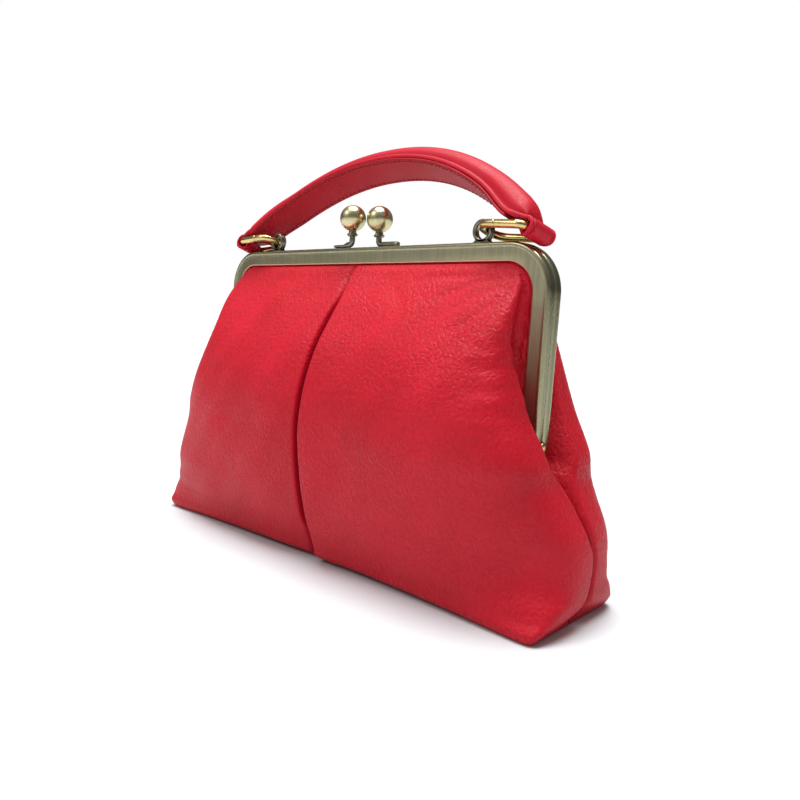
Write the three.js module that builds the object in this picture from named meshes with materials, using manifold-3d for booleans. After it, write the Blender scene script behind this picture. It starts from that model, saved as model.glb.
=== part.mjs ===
// Frame bag: two pleated leather panels held in a hinged brass frame with a ball clasp,
// and a padded handle on two D-rings. Millimetres, +Z up, front towards -Y, floor at z = 0.
import * as THREE from 'three';
import { mergeVertices } from 'three/addons/utils/BufferGeometryUtils.js';
import Module from 'manifold-3d';

// Metal frame: an inverted U of two channel halves that meet at y = 0.
const frame = {
  half: 100,      // half length over the arms
  top: 140.2,     // top edge above the floor
  foot: 60.6,     // lower end of the arms
  radius: 19,     // outer corner
  toe: 0.9,       // how far an arm leans in at its foot
  face: 7.4,      // height of the visible face
  depth: 4.5,     // outer face from the middle plane
  parting: 0.15,  // each half from the middle plane
  wall: 0.8,      // sheet metal
  leg: 6.4,       // hidden leg beside the middle plane
  rim: 1.2,       // rounding between the top and the face
  halfway: 0.3,   // share of that rounding left off at its middle
  edge: 0.3,      // broken edge at the face's lower side
  cornerSteps: 6,
};

// Leather wall, and its way into the channel as inset from the frame's outline and depth from y = 0.
const wall = 2;
const tuckIn = [
  { inset: 8.4, depth: 4.8 },
  { inset: 8.2, depth: 4.0 },
  { inset: 7.6, depth: 3.3 },
  { inset: 3.6, depth: 3.3 },
];

// Level sections of one panel, from the frame's mouth down to the floor.
// front: depth at the middle; lobe and depth: widest point of the side roll; seam: side seam's half width;
// full: how full the corner between front and side is; twist: turn about Z in degrees;
// fold: half step of the pleat; pinch: hollow between the roll and the seam;
// flare: how much further out the ends of the front stand than its middle.
const sections = [
  { level: 131.8, front: 4.8, lobe: 76, depth: 4.8, full: 2.5, twist: 0, fold: 0.3 },
  { level: 130.4, front: 6.3, lobe: 84, depth: 4.9, full: 2.8, twist: 0, fold: 0.4 },
  { level: 126.5, front: 9.2, lobe: 88.8, depth: 6.2, full: 3.2, twist: 0, fold: 0.7, pinch: 0.2 },
  { level: 121.2, front: 13.2, lobe: 90.6, depth: 8.8, full: 3.6, twist: 0, fold: 0.9, pinch: 0.8 },
  { level: 114, front: 18.6, lobe: 90.8, depth: 12, full: 4, twist: 0, fold: 1.1, pinch: 2 },
  { level: 106, front: 23.8, lobe: 91.2, depth: 13.4, full: 4.4, twist: 0, fold: 1.2, pinch: 3.2 },
  { level: 98, front: 28.6, lobe: 92.4, depth: 12.6, full: 4.6, twist: 0, fold: 1.2, pinch: 4 },
  { level: 90, front: 32.2, lobe: 94.6, depth: 11.8, full: 4.6, twist: 0, fold: 1.2, pinch: 4.2 },
  { level: 82, front: 35, lobe: 97.4, depth: 11.4, full: 4.5, twist: 0, fold: 1.2, pinch: 4 },
  { level: 74, front: 37, lobe: 100.8, depth: 11, full: 4.3, twist: 0, fold: 1.2, pinch: 3.2 },
  { level: 67, front: 38, lobe: 104.8, depth: 10.4, full: 4, twist: 0, fold: 1.2, pinch: 2.2 },
  { level: 60, front: 38.4, lobe: 108.6, depth: 9.4, full: 3.8, twist: 0, fold: 1.2, pinch: 1.2 },
  { level: 52, front: 38.4, lobe: 110.8, depth: 5.6, seam: 97, full: 3.6, twist: 0.8, fold: 1.2, pinch: 0.4 },
  { level: 44, front: 38, lobe: 114.6, depth: 3.4, seam: 102.5, full: 3.4, twist: 1.6, fold: 1.2 },
  { level: 36, front: 37.2, lobe: 118.4, depth: 2.2, seam: 106.5, full: 3.3, twist: 2.3, fold: 1.2 },
  { level: 28, front: 35.8, lobe: 120.3, depth: 1.8, seam: 109.3, full: 3.3, twist: 3, fold: 1.2 },
  { level: 20, front: 33.6, lobe: 120.9, depth: 2, seam: 110.8, full: 3.6, twist: 3, fold: 1.2 },
  { level: 13, front: 30.6, lobe: 120.9, depth: 2.6, seam: 111.5, full: 5, twist: 2.2, fold: 1, flare: 0.4 },
  { level: 7, front: 28.2, lobe: 119.2, depth: 7.4, seam: 112.2, full: 9, twist: 1.7, fold: 1, flare: 1.6 },
  { level: 3, front: 27, lobe: 116.6, depth: 19, seam: 113.6, full: 14, twist: 1.4, fold: 0.9, flare: 3.2 },
  { level: 0, front: 22.6, lobe: 115, depth: 20, seam: 114.8, full: 14, twist: 1.3, fold: 0.8, flare: 6.4 },
];
const seamGap = 0.2;                                  // each panel from the middle plane at its seams
const baseCorner = 1.2;                               // base panel's end kept off the seam
const frontStops = [0.05, 0.12, 0.3, 0.5, 0.68, 0.82, 0.92, 0.98, 1];
const sideStops = [0.3, 0.65, 1];                     // quarter turns from the roll into the seam
const baseStops = [0.5, 1];                           // rows of the base panel, edge to seam
const pleat = { under: 0.007, fade: 16, layers: 1.6 };  // hidden edge, reach of the step, extra wall behind

// Hardware on the frame's top.
const eye = {
  x: 65.7, lift: 4.7, hole: 3.1, outer: 4.6, length: 3, foot: 4.2, flare: 40, seat: 0.2, steps: 16,
};
const ball = {
  radius: 5.9, left: [-7.3, -2.4, 153.4], right: [5.2, 2.4, 152.9], meridians: 18, parallels: 12,
};
const neck = {
  wire: 1.3, bend: 1.8, bendStops: [30, 60, 90], left: -18.9, right: 17.5,
  collar: 2.5, collarHeight: 1.5, collarEdge: 0.4, seat: 0.15, sides: 10,
};
const rivet = {
  level: 64, shank: 1.1, hole: 1.4, length: 2.4, seat: 0.15, sides: 14,
  head: 2.3, headHeight: 1, brim: 0.4, crown: 0.6, crownHeight: 0.9,
};

// Handle, in a frame of its own that leans to the back about the strap's foot line.
const lean = { angle: 24.2, y: -1.7, z: 141.8 };
const arch = { rise: 38.7, reach: 87.3, power: 2.13, blend: 1.6, turnBlend: 3.4, stop: 76 };
const strap = {
  half: 8.4,       // half width
  loopHalf: 6.8,   // half width round the ring's bar
  tailHalf: 4.3,   // half width of the end that passes through the ring
  tail: 3.2,       // length of that end
  wrap: 232,       // turn round the bar in degrees
  thick: 2,        // leather of the flange
  loopThick: 1.5,  // leather round the bar
  domeStart: 77,   // padding begins to fall away
  domeEnd: 88.5,
  lining: 1.3,     // leather of the strip underneath
  liningEnd: 82,   // half span of that strip
  archSteps: 30,
  wrapSteps: 10,
  tabStops: [78, 80, 82, 84, 86, 88],
};
// Turn of the strap round the bar: its middle and inner radius, the tab's fall in degrees before it, and
// the stretch over which the strap narrows.
const loop = { x: 90.3, z: 2.1, inner: 2.25, fall: 7, from: 83, to: 90 };
const dome = [[6.3, 2], [5.9, 5], [4.4, 8], [2.2, 9.6], [0, 10]];  // half section above the flange
const ring = {
  wire: 1.65, half: 7, eyeX: 66.8, eyeY: 0.3, eyeZ: 3.7, barX: 90, barZ: 2.1, corner: 3.5, sides: 8,
  roundSteps: 12, cornerSteps: 4,
};
// The handle's ends and rings lie flatter than its middle and point a little to the front.
const settle = { turn: 7.7, yaw: 0.16, from: 60, to: 86, y: 0.3, z: 2 };
const slack = 0.3;                                     // between pieces that touch

const finishes = {
  panel: { color: 0xb71f30, metalness: 0, roughness: 0.55 },
  strap: { color: 0xb71f30, metalness: 0, roughness: 0.5 },
  lining: { color: 0x97232e, metalness: 0, roughness: 0.6 },
  brass: { color: 0x8d8862, metalness: 1, roughness: 0.4 },
  gold: { color: 0xb9a052, metalness: 1, roughness: 0.25 },
  bronze: { color: 0x6a6656, metalness: 1, roughness: 0.45 },
};
const degrees = Math.PI / 180;

// A geometry from points and triangles, turned so that its faces point out.
function closedGeometry(points, faces) {
  let volume = 0;
  for (const [a, b, c] of faces) {
    volume += points[a].dot(new THREE.Vector3().crossVectors(points[b], points[c]));
  }
  const order = volume < 0 ? ([a, b, c]) => [a, c, b] : (face) => face;
  const geometry = new THREE.BufferGeometry().setFromPoints(points);
  geometry.setIndex(faces.flatMap(order));
  return geometry;
}

// A skin through rings of equally many points, capped at both ends or closed on itself.
function loft(rings, closed = false) {
  const count = rings[0].length;
  const points = rings.flat();
  const faces = [];
  const steps = closed ? rings.length : rings.length - 1;
  for (let i = 0; i < steps; i += 1) {
    const next = ((i + 1) % rings.length) * count;
    for (let j = 0; j < count; j += 1) {
      const k = (j + 1) % count;
      faces.push([i * count + j, i * count + k, next + k], [i * count + j, next + k, next + j]);
    }
  }
  if (!closed) {
    for (const [first, flip] of [[0, true], [(rings.length - 1) * count, false]]) {
      const outline = points.slice(first, first + count);
      const flat = flatten(outline);
      for (const [a, b, c] of THREE.ShapeUtils.triangulateShape(flat, [])) {
        const cap = [first + a, first + b, first + c];
        const ahead = THREE.ShapeUtils.area(flat) > 0;
        faces.push(flip === ahead ? [cap[0], cap[2], cap[1]] : cap);
      }
    }
  }
  return closedGeometry(points, faces);
}

// Plane coordinates of a flat ring, measured from its own first edge and normal.
function flatten(outline) {
  const normal = new THREE.Vector3();
  outline.forEach((point, i) => {
    const next = outline[(i + 1) % outline.length];
    normal.add(new THREE.Vector3().crossVectors(point, next));
  });
  normal.normalize();
  const across = outline[1].clone().sub(outline[0]).normalize();
  const along = new THREE.Vector3().crossVectors(normal, across);
  return outline.map((point) => new THREE.Vector2(point.dot(across), point.dot(along)));
}

// A solid cut by another.
const wasm = await Module();
wasm.setup();
function manifold(geometry) {
  const bare = geometry.clone();
  bare.deleteAttribute('normal');
  bare.deleteAttribute('uv');
  const merged = mergeVertices(bare, 1e-4);
  const vertProperties = merged.attributes.position.array;
  const triVerts = new Uint32Array(merged.index.array);
  return new wasm.Manifold(new wasm.Mesh({ numProp: 3, vertProperties, triVerts }));
}
function cut(geometry, tool) {
  const mesh = manifold(geometry).subtract(manifold(tool)).getMesh();
  const result = new THREE.BufferGeometry();
  result.setAttribute('position', new THREE.BufferAttribute(new Float32Array(mesh.vertProperties), 3));
  result.setIndex([...mesh.triVerts]);
  return result;
}

// Stations along the frame's outline from the left foot to the right one, with the way outward.
function frameStations() {
  const { half, top, foot, radius, toe, cornerSteps } = frame;
  const right = [{ x: half - toe, z: foot, outX: 1, outZ: 0 }];
  for (let i = 0; i <= cornerSteps; i += 1) {
    const angle = (i / cornerSteps) * 90 * degrees;
    const outX = Math.cos(angle);
    const outZ = Math.sin(angle);
    right.push({ x: half - radius + radius * outX, z: top - radius + radius * outZ, outX, outZ });
  }
  const left = right.map((station) => ({ ...station, x: -station.x, outX: -station.outX }));
  return [...left, ...right.reverse()];
}

// One channel half: a U section swept along the outline, with its top edge rounded into the face.
function channelHalf(side) {
  const { face, depth, parting, wall: metal, leg, rim, halfway, edge } = frame;
  const turned = halfway * rim;
  const profile = [
    [0, parting], [0, depth - rim], [turned, depth - turned], [rim, depth], [face - edge, depth],
    [face, depth - edge], [face, depth - metal], [metal, depth - metal], [metal, parting + metal],
    [leg, parting + metal], [leg, parting],
  ];
  const rings = frameStations().map(({ x, z, outX, outZ }) => profile.map(([inset, from]) => (
    new THREE.Vector3(x - outX * inset, side * from, z - outZ * inset))));
  return [-1, 1].reduce((geometry, end) => cut(geometry, rivetHole(end)), loft(rings));
}

// Half width of the frame's outline at a level, drawn in by an inset, and the way outward there.
function outlineAt(level, inset) {
  const { half, top, foot, radius, toe } = frame;
  const bend = top - radius;
  if (level <= bend) {
    const lower = (bend - level) / (bend - foot);
    return { x: half - inset - toe * lower, outX: 1, outZ: 0 };
  }
  const rise = Math.min(1, (level - bend) / (radius - inset));
  const run = Math.sqrt(1 - rise * rise);
  return { x: half - radius + (radius - inset) * run, outX: run, outZ: rise };
}

// Step of the pleat beside the middle: the right-hand fold stands proud and the left lies under it.
function pleatStep(row, x, stop) {
  const fade = Math.exp(-((x / pleat.fade) ** 2));
  return (stop < 0 ? -row.fold : row.fold) * fade;
}

// Points of one level section from the left seam to the right one: a superellipse quarter from the
// middle to the roll, x = lobe s, y = depth + (front + flare s^2 - depth) (1 - s^n)^(1/n), then an
// elliptic quarter into the seam.
function sectionPoints(row) {
  const inFrame = row.seam === undefined;
  const seamX = inFrame ? outlineAt(row.level, tuckIn[0].inset).x : row.seam;
  let seamY = inFrame ? tuckIn[0].depth : seamGap;
  if (row.level === 0) {
    seamY = baseCorner;
  }
  const frontPart = (stop) => {
    const s = Math.abs(stop);
    const front = row.front + (row.flare ?? 0) * s ** 2;
    const y = row.depth + (front - row.depth) * (1 - s ** row.full) ** (1 / row.full);
    return { x: row.lobe * stop, y: -y, step: pleatStep(row, row.lobe * stop, stop) };
  };
  const sidePart = (side, stop) => {
    const turn = stop * 90 * degrees;
    const x = seamX + (row.lobe - seamX) * Math.cos(turn) - (row.pinch ?? 0) * Math.sin(2 * turn);
    return { x: side * x, y: -(seamY + (row.depth - seamY) * (1 - Math.sin(turn))), step: 0 };
  };
  const flat = [
    ...[...sideStops].reverse().map((stop) => sidePart(-1, stop)),
    ...[...frontStops].reverse().map((stop) => frontPart(-stop)),
    frontPart(-pleat.under), frontPart(0),
    ...frontStops.map(frontPart),
    ...sideStops.map((stop) => sidePart(1, stop)),
  ];
  const cos = Math.cos(row.twist * degrees);
  const sin = Math.sin(row.twist * degrees);
  return flat.map(({ x, y, step }) => ({
    point: new THREE.Vector3(x * cos - y * sin, x * sin + y * cos, row.level),
    step,
  }));
}

// One panel: the wall through all sections, the base panel, and the edge tucked into the channel,
// as one sheet that is then given its thickness.
function panelSheet() {
  const points = [];
  const steps = [];
  const faces = [];
  const add = (point, step = 0) => {
    steps.push(step);
    return points.push(point) - 1;
  };
  const join = (rowA, rowB) => {
    for (let j = 0; j + 1 < rowA.length; j += 1) {
      faces.push([rowA[j], rowB[j], rowB[j + 1]], [rowA[j], rowB[j + 1], rowA[j + 1]]);
    }
  };
  const rows = sections.map((row) => sectionPoints(row).map(({ point, step }) => add(point, step)));
  rows.slice(1).forEach((row, i) => join(rows[i], row));

  // Base panel: each edge point runs to its share of the bottom seam's length.
  const edge = rows[rows.length - 1].map((id) => points[id]);
  const along = [0];
  edge.slice(1).forEach((point, i) => along.push(along[i] + point.distanceTo(edge[i])));
  const seamStart = edge[0];
  const seamEnd = edge[edge.length - 1];
  let last = rows[rows.length - 1];
  for (const stop of baseStops) {
    const row = edge.map((point, j) => {
      const target = seamStart.clone().lerp(seamEnd, along[j] / along[along.length - 1]);
      target.y += (baseCorner - seamGap);
      return add(point.clone().lerp(target, stop));
    });
    join(last, row);
    last = row;
  }

  // Edge in the channel, from the right arm's foot over the top to the left one.
  const held = sections.map((row, i) => ({ row, i })).filter(({ row }) => row.seam === undefined);
  const columns = rows[0].length;
  const sideEdge = (side, column) => held.map(({ row, i }) => {
    const { outX, outZ } = outlineAt(row.level, tuckIn[0].inset);
    return { id: rows[i][column], outX: side * outX, outZ };
  });
  const topRow = rows[0].slice(1, -1).map((id) => ({ id, outX: 0, outZ: 1 }));
  const border = [...sideEdge(-1, 0).reverse(), ...topRow, ...sideEdge(1, columns - 1)];
  let inner = border.map(({ id }) => id);
  for (const { inset, depth } of tuckIn.slice(1)) {
    const row = border.map(({ id, outX, outZ }) => {
      const reach = tuckIn[0].inset - inset;
      const start = points[id];
      return add(new THREE.Vector3(start.x + outX * reach, -depth, start.z + outZ * reach));
    });
    join(row, inner);
    inner = row;
  }
  return { points, steps, faces };
}

// The sheet with its thickness: outer points carry the pleat, inner ones lie a wall behind.
function panelGeometry() {
  const { points, steps, faces } = panelSheet();
  const skin = new THREE.BufferGeometry().setFromPoints(points);
  skin.setIndex(faces.flat());
  skin.computeVertexNormals();
  const normals = points.map((_, i) => new THREE.Vector3().fromBufferAttribute(skin.attributes.normal, i));
  const outer = points.map((point, i) => point.clone().add(new THREE.Vector3(0, -steps[i], 0)));
  const inner = points.map((point, i) => {
    const behind = wall + pleat.layers * Math.min(1, Math.abs(steps[i]));
    return point.clone().addScaledVector(normals[i], -behind);
  });
  const count = points.length;
  const shell = faces.flatMap(([a, b, c]) => [[a, b, c], [a + count, c + count, b + count]]);
  const used = new Map();
  for (const [a, b, c] of faces) {
    for (const [from, to] of [[a, b], [b, c], [c, a]]) {
      const twin = `${to},${from}`;
      if (used.has(twin)) {
        used.delete(twin);
      } else {
        used.set(`${from},${to}`, [from, to]);
      }
    }
  }
  for (const [from, to] of used.values()) {
    shell.push([to, from, from + count], [to, from + count, to + count]);
  }
  return closedGeometry([...outer, ...inner], shell);
}

// A bent strip of metal that stands on the frame as an eye, with a flared foot.
function eyeGeometry() {
  const { lift, hole, outer, length, foot, flare, seat, steps } = eye;
  const open = flare * degrees;
  const outline = new THREE.Shape();
  outline.absarc(0, 0, outer, -open, Math.PI + open, false);
  outline.lineTo(-foot, seat - lift);
  outline.lineTo(foot, seat - lift);
  outline.closePath();
  const opening = new THREE.Path();
  opening.absarc(0, 0, hole, 0, 2 * Math.PI, true);
  outline.holes.push(opening);
  const strip = { depth: length, bevelEnabled: false, curveSegments: steps };
  const geometry = new THREE.ExtrudeGeometry(outline, strip);
  return geometry.translate(0, 0, -length / 2).rotateX(Math.PI / 2);
}

// Circle of points about a place, square to a direction.
function roundRing(centre, direction, radius, sides) {
  const up = new THREE.Vector3(0, 0, 1);
  const turn = new THREE.Quaternion().setFromUnitVectors(up, direction.clone().normalize());
  return Array.from({ length: sides }, (_, i) => {
    const angle = (i / sides) * 2 * Math.PI;
    const spoke = new THREE.Vector3(radius * Math.cos(angle), radius * Math.sin(angle), 0);
    return spoke.applyQuaternion(turn).add(centre);
  });
}

// Clasp neck: a foot along the frame's top, a bend and a post with a collar under the ball.
function neckGeometry([x, y, z], footEnd) {
  const { wire, bend, bendStops, collar, collarHeight, collarEdge, seat, sides } = neck;
  const low = frame.top + seat + wire;
  const high = z - ball.radius - slack;
  const towards = Math.sign(x - footEnd);
  const up = new THREE.Vector3(0, 0, 1);
  const out = new THREE.Vector3(towards, 0, 0);
  const stations = [
    [new THREE.Vector3(footEnd, y, low), out, wire],
    [new THREE.Vector3(x - towards * bend, y, low), out, wire],
  ];
  for (const angle of bendStops) {
    const sin = Math.sin(angle * degrees);
    const cos = Math.cos(angle * degrees);
    const centre = new THREE.Vector3(x - towards * bend * (1 - sin), y, low + bend * (1 - cos));
    stations.push([centre, new THREE.Vector3(towards * cos, 0, sin), wire]);
  }
  const post = (level, radius) => stations.push([new THREE.Vector3(x, y, level), up, radius]);
  post(high - collarHeight - collarEdge, wire);
  post(high - collarHeight, collar);
  post(high - collarEdge, collar);
  post(high, collar - collarEdge);
  return loft(stations.map(([centre, direction, radius]) => roundRing(centre, direction, radius, sides)));
}

// Hinge rivet at an arm's foot, its head over the parting line.
function rivetPlace(end) {
  return { x: end * outlineAt(rivet.level, 0).x, z: rivet.level };
}
function rivetGeometry(end) {
  const { shank, head, headHeight, length, seat, brim, crown, crownHeight } = rivet;
  const profile = [
    [0, -length], [shank, -length], [shank, seat], [head, seat], [head, seat + brim * headHeight],
    [crown * head, seat + crownHeight * headHeight], [0, seat + headHeight],
  ].map(([radius, along]) => new THREE.Vector2(radius, along));
  return new THREE.LatheGeometry(profile, rivet.sides).rotateZ(-end * Math.PI / 2);
}
function rivetHole(end) {
  const { x, z } = rivetPlace(end);
  const reach = 2 * (rivet.length + 2 * slack);
  const drill = new THREE.CylinderGeometry(rivet.hole, rivet.hole, reach, rivet.sides);
  return drill.rotateZ(Math.PI / 2).translate(x, 0, z);
}

// D-ring: its round side passes through the eye and its bar lies in the strap's loop.
function ringGeometry(side) {
  const { wire, half, eyeX, eyeY, eyeZ, barX, barZ, corner, sides, roundSteps, cornerSteps } = ring;
  const places = [];
  const arc = (cx, cy, radius, from, to, count) => {
    for (let i = 0; i <= count; i += 1) {
      const angle = (from + ((to - from) * i) / count) * degrees;
      places.push([cx + radius * Math.cos(angle), cy + radius * Math.sin(angle)]);
    }
  };
  arc(eyeX + half, eyeY, half, 90, 270, roundSteps);
  arc(barX - corner, eyeY - half + corner, corner, -90, 0, cornerSteps);
  arc(barX - corner, eyeY + half - corner, corner, 0, 90, cornerSteps);
  const centres = places.map(([x, y]) => {
    const past = (x - eyeX) / (barX - eyeX);
    return new THREE.Vector3(side * (x + settle.yaw * (y - eyeY) * past), y, eyeZ + (barZ - eyeZ) * past);
  });
  const rings = centres.map((centre, i) => {
    const before = centres[(i + centres.length - 1) % centres.length];
    const after = centres[(i + 1) % centres.length];
    const along = after.clone().sub(before).normalize();
    const across = new THREE.Vector3(0, 0, 1).cross(along).normalize();
    const up = new THREE.Vector3().crossVectors(along, across);
    return Array.from({ length: sides }, (_, k) => {
      const angle = ((k + 0.5) / sides) * 2 * Math.PI;
      const side = across.clone().multiplyScalar(wire * Math.cos(angle));
      return side.addScaledVector(up, wire * Math.sin(angle)).add(centre);
    });
  });
  const { turn, y, z } = settle;
  return loft(rings, true).translate(0, -y, -z).rotateX(turn * degrees).translate(0, y, z);
}

// Height of the strap's seam line over its foot line, z = rise (1 - |x / reach|^power), and its slope.
const archHeight = (x) => arch.rise * (1 - Math.abs(x / arch.reach) ** arch.power);
const archSlope = (x) => {
  const steepest = (arch.rise * arch.power) / arch.reach;
  return -Math.sign(x) * steepest * Math.abs(x / arch.reach) ** (arch.power - 1);
};

// The strap's points near its ends, turned about X and drawn to the front as the rings are.
function settled(point) {
  const share = THREE.MathUtils.smoothstep(Math.abs(point.x), settle.from, settle.to);
  const centre = new THREE.Vector3(0, settle.y, settle.z);
  const across = new THREE.Vector3(1, 0, 0);
  point.x += Math.sign(point.x) * share * settle.yaw * (point.y - settle.y);
  return point.sub(centre).applyAxisAngle(across, share * settle.turn * degrees).add(centre);
}

// The strap's underside from the middle to the turn round the bar: the softened greater of the arch and the
// straight tab, z = arch + blend log(1 + exp((tab - arch) / blend)). Its slope, for the way outward, turns
// over a longer stretch.
function strapLine(x) {
  const { inner, fall } = loop;
  const slope = Math.tan(fall * degrees);
  const touchX = loop.x + inner * Math.sin(fall * degrees);
  const touchZ = loop.z + inner * Math.cos(fall * degrees);
  const above = touchZ + (touchX - Math.abs(x)) * slope - archHeight(x);
  const over = Math.exp(above / arch.turnBlend);
  return {
    z: archHeight(x) + arch.blend * Math.log1p(Math.exp(above / arch.blend)),
    slope: (archSlope(x) - Math.sign(x) * slope * over) / (1 + over),
  };
}

// Stations of the strap's underside: the arch, then at each end a straight tab, a turn round the bar and
// a tail that rises to the strap again. Each has its place, the way outward, its half width, its leather and
// the share of padding.
function strapStations() {
  const { half, loopHalf, tailHalf, tail, wrap, thick, loopThick, domeStart, domeEnd } = strap;
  const { archSteps, wrapSteps, tabStops } = strap;
  const onLine = (x) => {
    const { z, slope } = strapLine(x);
    const length = Math.hypot(1, slope);
    const thin = THREE.MathUtils.smoothstep(Math.abs(x), loop.from, loop.to);
    const past = Math.min(1, Math.max(0, (Math.abs(x) - domeStart) / (domeEnd - domeStart)));
    return {
      x, z, outX: -slope / length, outZ: 1 / length,
      half: half + (loopHalf - half) * thin,
      leather: thick + (loopThick - thick) * thin,
      pad: Math.sqrt(1 - past * past),
    };
  };
  const across = (i) => arch.stop * (1 - (2 * i) / archSteps);
  const middle = Array.from({ length: archSteps + 1 }, (_, i) => onLine(across(i)));
  const end = tabStops.map(onLine);
  for (let i = 0; i <= wrapSteps; i += 1) {
    const angle = (90 - loop.fall - (i / wrapSteps) * wrap) * degrees;
    const outX = Math.cos(angle);
    const outZ = Math.sin(angle);
    const narrow = Math.max(0, (2 * i) / wrapSteps - 1);
    const width = loopHalf + (tailHalf - loopHalf) * narrow;
    const place = { x: loop.x + loop.inner * outX, z: loop.z + loop.inner * outZ };
    end.push({ ...place, outX, outZ, half: width, leather: loopThick, pad: 0 });
  }
  const last = end[end.length - 1];
  end.push({ ...last, x: last.x + last.outZ * tail, z: last.z - last.outX * tail });
  const mirrored = end.map((station) => ({ ...station, x: -station.x, outX: -station.outX }));
  return [...[...end].reverse(), ...middle, ...mirrored];
}

// Padded strap with flat flanges and end loops, one piece of leather.
function strapGeometry() {
  const { thick, half: full } = strap;
  const domeLeft = dome.map(([y, height]) => [-y, height]);
  const domeRight = [...dome].reverse().slice(1);
  const rings = strapStations().map(({ x, z, outX, outZ, half, leather, pad }) => {
    const scale = half / full;
    const outline = [
      [-half, slack / 2], [-half, leather],
      ...[...domeLeft, ...domeRight].map(([y, height]) => [y * scale, leather + (height - thick) * pad]),
      [half, leather], [half, slack / 2], [0, slack / 2],
    ];
    return outline.map(([y, height]) => settled(new THREE.Vector3(x + outX * height, y, z + outZ * height)));
  });
  return loft(rings);
}

// Flat strip sewn under the strap, seen as a lip along its edges.
function liningGeometry() {
  const { lining, liningEnd, half } = strap;
  const under = strapStations().filter(({ x }) => Math.abs(x) <= liningEnd);
  const outline = [
    [-half, -lining], [-half, -slack / 2], [0, -slack / 2], [half, -slack / 2], [half, -lining], [0, -lining],
  ];
  return loft(under.map(({ x, z, outX, outZ }) => outline.map(([y, height]) => (
    settled(new THREE.Vector3(x + outX * height, y, z + outZ * height))))));
}

function part(name, geometry, finish) {
  const mesh = new THREE.Mesh(geometry, new THREE.MeshStandardMaterial(finish));
  mesh.name = name;
  return mesh;
}

const bag = new THREE.Group();
const panel = panelGeometry();
bag.add(part('front_panel', panel, finishes.panel));
const backPanel = part('back_panel', panel.clone(), finishes.panel);
backPanel.rotation.z = Math.PI;
bag.add(backPanel);
bag.add(part('frame_front', channelHalf(-1), finishes.brass));
bag.add(part('frame_back', channelHalf(1), finishes.brass));

const handle = new THREE.Group();
handle.position.set(0, lean.y, lean.z);
handle.rotation.x = -lean.angle * degrees;
handle.add(part('handle_strap', strapGeometry(), finishes.strap));
handle.add(part('handle_lining', liningGeometry(), finishes.lining));
bag.add(handle);

for (const [name, side] of [['left', -1], ['right', 1]]) {
  const standing = part(`eye_${name}`, eyeGeometry(), finishes.bronze);
  standing.position.set(side * eye.x, 0, frame.top + eye.lift);
  bag.add(standing);
  handle.add(part(`ring_${name}`, ringGeometry(side), finishes.gold));
  bag.add(part(`clasp_neck_${name}`, neckGeometry(ball[name], neck[name]), finishes.bronze));
  const sphere = new THREE.SphereGeometry(ball.radius, ball.meridians, ball.parallels);
  const knob = part(`clasp_ball_${name}`, sphere, finishes.gold);
  knob.position.set(...ball[name]);
  bag.add(knob);
  const pin = part(`hinge_rivet_${name}`, rivetGeometry(side), finishes.gold);
  const place = rivetPlace(side);
  pin.position.set(place.x, 0, place.z);
  bag.add(pin);
}

export default bag;
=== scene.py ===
import bpy
import numpy as np
from mathutils import Matrix


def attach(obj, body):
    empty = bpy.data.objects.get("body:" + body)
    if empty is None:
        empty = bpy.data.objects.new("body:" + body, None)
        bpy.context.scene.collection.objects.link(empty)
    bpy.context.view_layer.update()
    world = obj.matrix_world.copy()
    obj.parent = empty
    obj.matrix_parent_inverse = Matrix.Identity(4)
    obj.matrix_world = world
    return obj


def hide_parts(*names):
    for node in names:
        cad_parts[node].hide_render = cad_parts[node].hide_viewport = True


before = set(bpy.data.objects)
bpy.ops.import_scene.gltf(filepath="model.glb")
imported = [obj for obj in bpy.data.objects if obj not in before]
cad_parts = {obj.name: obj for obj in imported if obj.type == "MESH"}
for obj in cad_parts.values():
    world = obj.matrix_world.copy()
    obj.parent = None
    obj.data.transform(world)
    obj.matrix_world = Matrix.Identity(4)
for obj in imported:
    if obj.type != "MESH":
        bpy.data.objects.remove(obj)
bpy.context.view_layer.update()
print("frame loaded:", len(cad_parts), "nodes")

# Shapes are worked out in millimetres and scaled to metres when a mesh is made.
millimetre = 0.001


# Quads of a grid, row after row; a wrapped grid joins its last row or column to the first.
def gridQuads(rows, columns, wrapRows=False, wrapColumns=False):
    i = np.arange(rows if wrapRows else rows - 1)[:, None]
    j = np.arange(columns if wrapColumns else columns - 1)[None, :]
    nextI, nextJ = (i + 1) % rows, (j + 1) % columns
    corners = [i * columns + j, i * columns + nextJ, nextI * columns + nextJ, nextI * columns + j]
    return np.stack([np.broadcast_to(c, (i.size, j.size)) for c in corners], -1).reshape(-1, 4)


# A shape is points, quads, end caps (rings of point numbers) and a pair of surface coordinates per point.
def asShape(points, quads, caps=(), uv=None):
    points = np.asarray(points, float).reshape(-1, 3)
    uv = np.zeros((len(points), 2)) if uv is None else np.asarray(uv, float).reshape(-1, 2)
    return {"points": points, "quads": np.asarray(quads), "caps": [np.asarray(c) for c in caps], "uv": uv}


def joined(shapes):
    starts = np.cumsum([0] + [len(s["points"]) for s in shapes])
    return asShape(
        np.concatenate([s["points"] for s in shapes]),
        np.concatenate([s["quads"] + start for s, start in zip(shapes, starts)]),
        [cap + start for s, start in zip(shapes, starts) for cap in s["caps"]],
        np.concatenate([s["uv"] for s in shapes]))


# Signed volume of a closed shape, the sum over its fans of a . (b x c) / 6.
def signedVolume(points, quads, caps):
    fans = [quads[:, [0, 1, 2]], quads[:, [0, 2, 3]]]
    fans += [np.stack([np.full(len(c) - 2, c[0]), c[1:-1], c[2:]], 1) for c in caps]
    a, b, c = points[np.concatenate(fans)].transpose(1, 0, 2)
    return np.einsum("ij,ij->i", a, np.cross(b, c)).sum() / 6


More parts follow.
